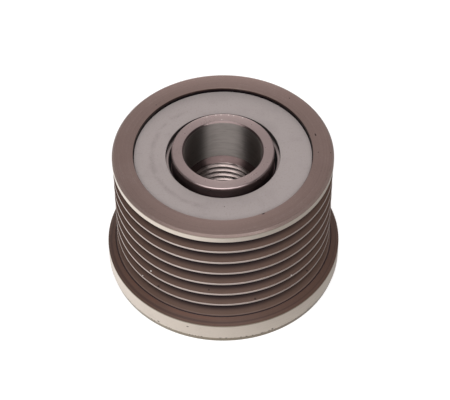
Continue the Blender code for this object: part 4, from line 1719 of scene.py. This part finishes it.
@dataclass
class Studio:
    """The camera, the pale floor, the soft dome and the lamps.

    The floor has an opening under the pulley, lit from below, and a small floor of its own under the bore.
    The mirrored values are its glow as glossy surfaces see it: it falls from left to right, is at least
    mirrored_far further out, and fades to nothing at the pulley's foot.
    """

    camera_place: Vector = Vector((0.0, -0.27387, 0.32747))
    camera_down: float = math.radians(48.521)
    camera_yaw: float = math.radians(-0.083)
    camera_roll: float = math.radians(0.309)
    lens: float = 148.4
    floor_gap: float = 0.03 * MM
    floor_radius: float = 3.0
    opening_radius: float = 25.2 * MM
    spot_radius: float = 9.0 * MM
    pin_hole: float = 0.02 * MM
    floor_segments: int = 128
    floor_color: Color = (0.42, 0.415, 0.41)
    floor_glow: float = 0.72
    mirrored_left: float = 0.80
    mirrored_right: float = 0.0
    mirrored_reach: float = 0.045
    mirrored_far: float = 0.5
    far_start: float = 0.08
    far_end: float = 0.2
    contact_start: float = 27.0 * MM
    contact_end: float = 24.0 * MM
    horizon: Color = (1.0, 1.0, 1.0)
    horizon_top: float = math.sin(math.radians(5.0))
    dome: Color = (0.08, 0.074, 0.074)
    dome_start: float = math.sin(math.radians(14.0))
    panel: Color = (0.66, 0.605, 0.6)
    panel_elevation: float = math.radians(38.0)
    panel_inner: float = math.cos(math.radians(10.0))
    panel_outer: float = math.cos(math.radians(50.0))
    core: Color = (2.4, 2.2, 2.17)
    core_elevation: float = math.radians(18.0)
    core_inner: float = math.cos(math.radians(5.0))
    core_outer: float = math.cos(math.radians(18.0))
    ground_start: float = -0.04
    ground_end: float = -0.02
    underglow: float = 0.6
    underglow_end: float = math.sin(math.radians(-62.0))
    underglow_start: float = math.sin(math.radians(-42.0))
    boxes: tuple[SoftBox, ...] = (
        SoftBox("overhead_box", (-0.10, -0.24, 1.26), 0.68, 0.8, 3.6),
        SoftBox("front_box", (-0.16, -1.86, 2.08), 4.4, 2.32, 106.0),
    )

    def add_camera(self) -> None:
        """Set the camera at the photograph's viewing angle."""
        data = bpy.data.cameras.new("camera")
        data.lens = self.lens
        data.sensor_width = 36.0
        data.clip_start = 0.01
        camera = set_down("camera", data)
        turn = Matrix.Rotation(self.camera_yaw, 4, "Z")
        turn = turn @ Matrix.Rotation(math.pi / 2 - self.camera_down, 4, "X")
        turn = turn @ Matrix.Rotation(-self.camera_roll, 4, "Z")
        camera.matrix_world = Matrix.Translation(self.camera_place) @ turn
        bpy.context.scene.camera = camera

    def add_floor(self) -> None:
        """Lay the white floor, which keeps the pulley's shadow and can be seen through from below."""
        material = bpy.data.materials.new("white_floor")
        for name, outer, inner in (
            ("floor", self.floor_radius, self.opening_radius),
            ("floor_under_bore", self.spot_radius, self.pin_hole),
        ):
            edges = [Mesher.ring(radius, -self.floor_gap, self.floor_segments) for radius in (outer, inner)]
            data = Mesher.skin(name, edges)
            data.materials.append(material)
            floor = set_down(name, data)
        material.use_nodes = True
        tree = material.node_tree
        tree.nodes.clear()
        rays = add_node(tree, "ShaderNodeLightPath").outputs
        kinds = ("Camera", "Glossy", "Transmission")
        seen, glossy, through = (Field(tree, rays[f"Is {kind} Ray"]) for kind in kinds)
        x, y, _ = parts_of(tree, add_node(tree, "ShaderNodeTexCoord").outputs["Object"])
        distance = (x * x + y * y).apply("SQRT")
        falling = x.ramp(-self.mirrored_reach, self.mirrored_reach, self.mirrored_left, self.mirrored_right)
        falling = falling.at_least(distance.ramp(self.far_start, self.far_end, 0.0, self.mirrored_far))
        falling = falling * distance.ramp(self.contact_end, self.contact_start)
        strength = seen.at_least(through) * self.floor_glow + glossy * falling
        matte = add_node(tree, "ShaderNodeBsdfDiffuse", Color=self.floor_color).outputs[0]
        glow = add_node(tree, "ShaderNodeEmission", Strength=strength).outputs[0]
        both = add_node(tree, "ShaderNodeAddShader", matte, glow).outputs[0]
        clear = add_node(tree, "ShaderNodeBsdfTransparent").outputs[0]
        underside = add_node(tree, "ShaderNodeNewGeometry").outputs["Backfacing"]
        choice = add_node(tree, "ShaderNodeMixShader", underside, both, clear).outputs[0]
        add_node(tree, "ShaderNodeOutputMaterial", Surface=choice)

    def add_dome(self) -> None:
        """Light the scene with a soft dome.

        The sky is dim and the horizon white, and a pale panel with a bright core stands at the back. Below
        the horizon only the weaker underglow is left, which fades out towards underglow_end.
        """
        world = bpy.data.worlds.new("studio")
        bpy.context.scene.world = world
        world.use_nodes = True
        tree = world.node_tree
        _, y, z = parts_of(tree, add_node(tree, "ShaderNodeTexCoord").outputs["Generated"])
        to_panel = y * math.cos(self.panel_elevation) + z * math.sin(self.panel_elevation)
        to_core = y * math.cos(self.core_elevation) + z * math.sin(self.core_elevation)
        color = layered(
            tree,
            self.dome,
            (to_panel.ramp(self.panel_outer, self.panel_inner), self.panel),
            (to_core.ramp(self.core_outer, self.core_inner), self.core),
            (z.ramp(self.dome_start, self.horizon_top), self.horizon),
        )
        below = z.ramp(self.underglow_end, self.underglow_start, 0.0, self.underglow)
        strength = z.ramp(self.ground_start, self.ground_end).at_least(below)
        plug_named(tree, tree.nodes["Background"], {"Color": color, "Strength": strength})

    def build(self) -> None:
        """Set up the whole studio."""
        bpy.context.scene.view_settings.view_transform = "Standard"
        self.add_camera()
        self.add_floor()
        self.add_dome()
        for box in self.boxes:
            box.hang()


def main() -> None:
    """Build the studio and every sub-assembly, in order."""
    logging.basicConfig(level=logging.INFO, format="%(name)s: %(message)s")
    Studio().build()
    turning, array = TurningTree(), RingArrayTree()
    BeltRing(turning).build()
    CoverPlate(turning).build()
    HubSleeve(ThreadTree()).build()
    steel, rubber = SEAL_STEEL.material(), RUBBER.material()
    for side in Side:
        LipSeal(turning, side).build(steel, rubber)
    RaceCup(turning).build()
    roller_steel, polymer = ROLLER.material(), POLYMER.material()
    for side in Side:
        RollerBearing(turning, array, side).build(roller_steel, polymer)
    OneWayClutch(turning, array).build(roller_steel, polymer)


if __name__ == "__main__":
    main()
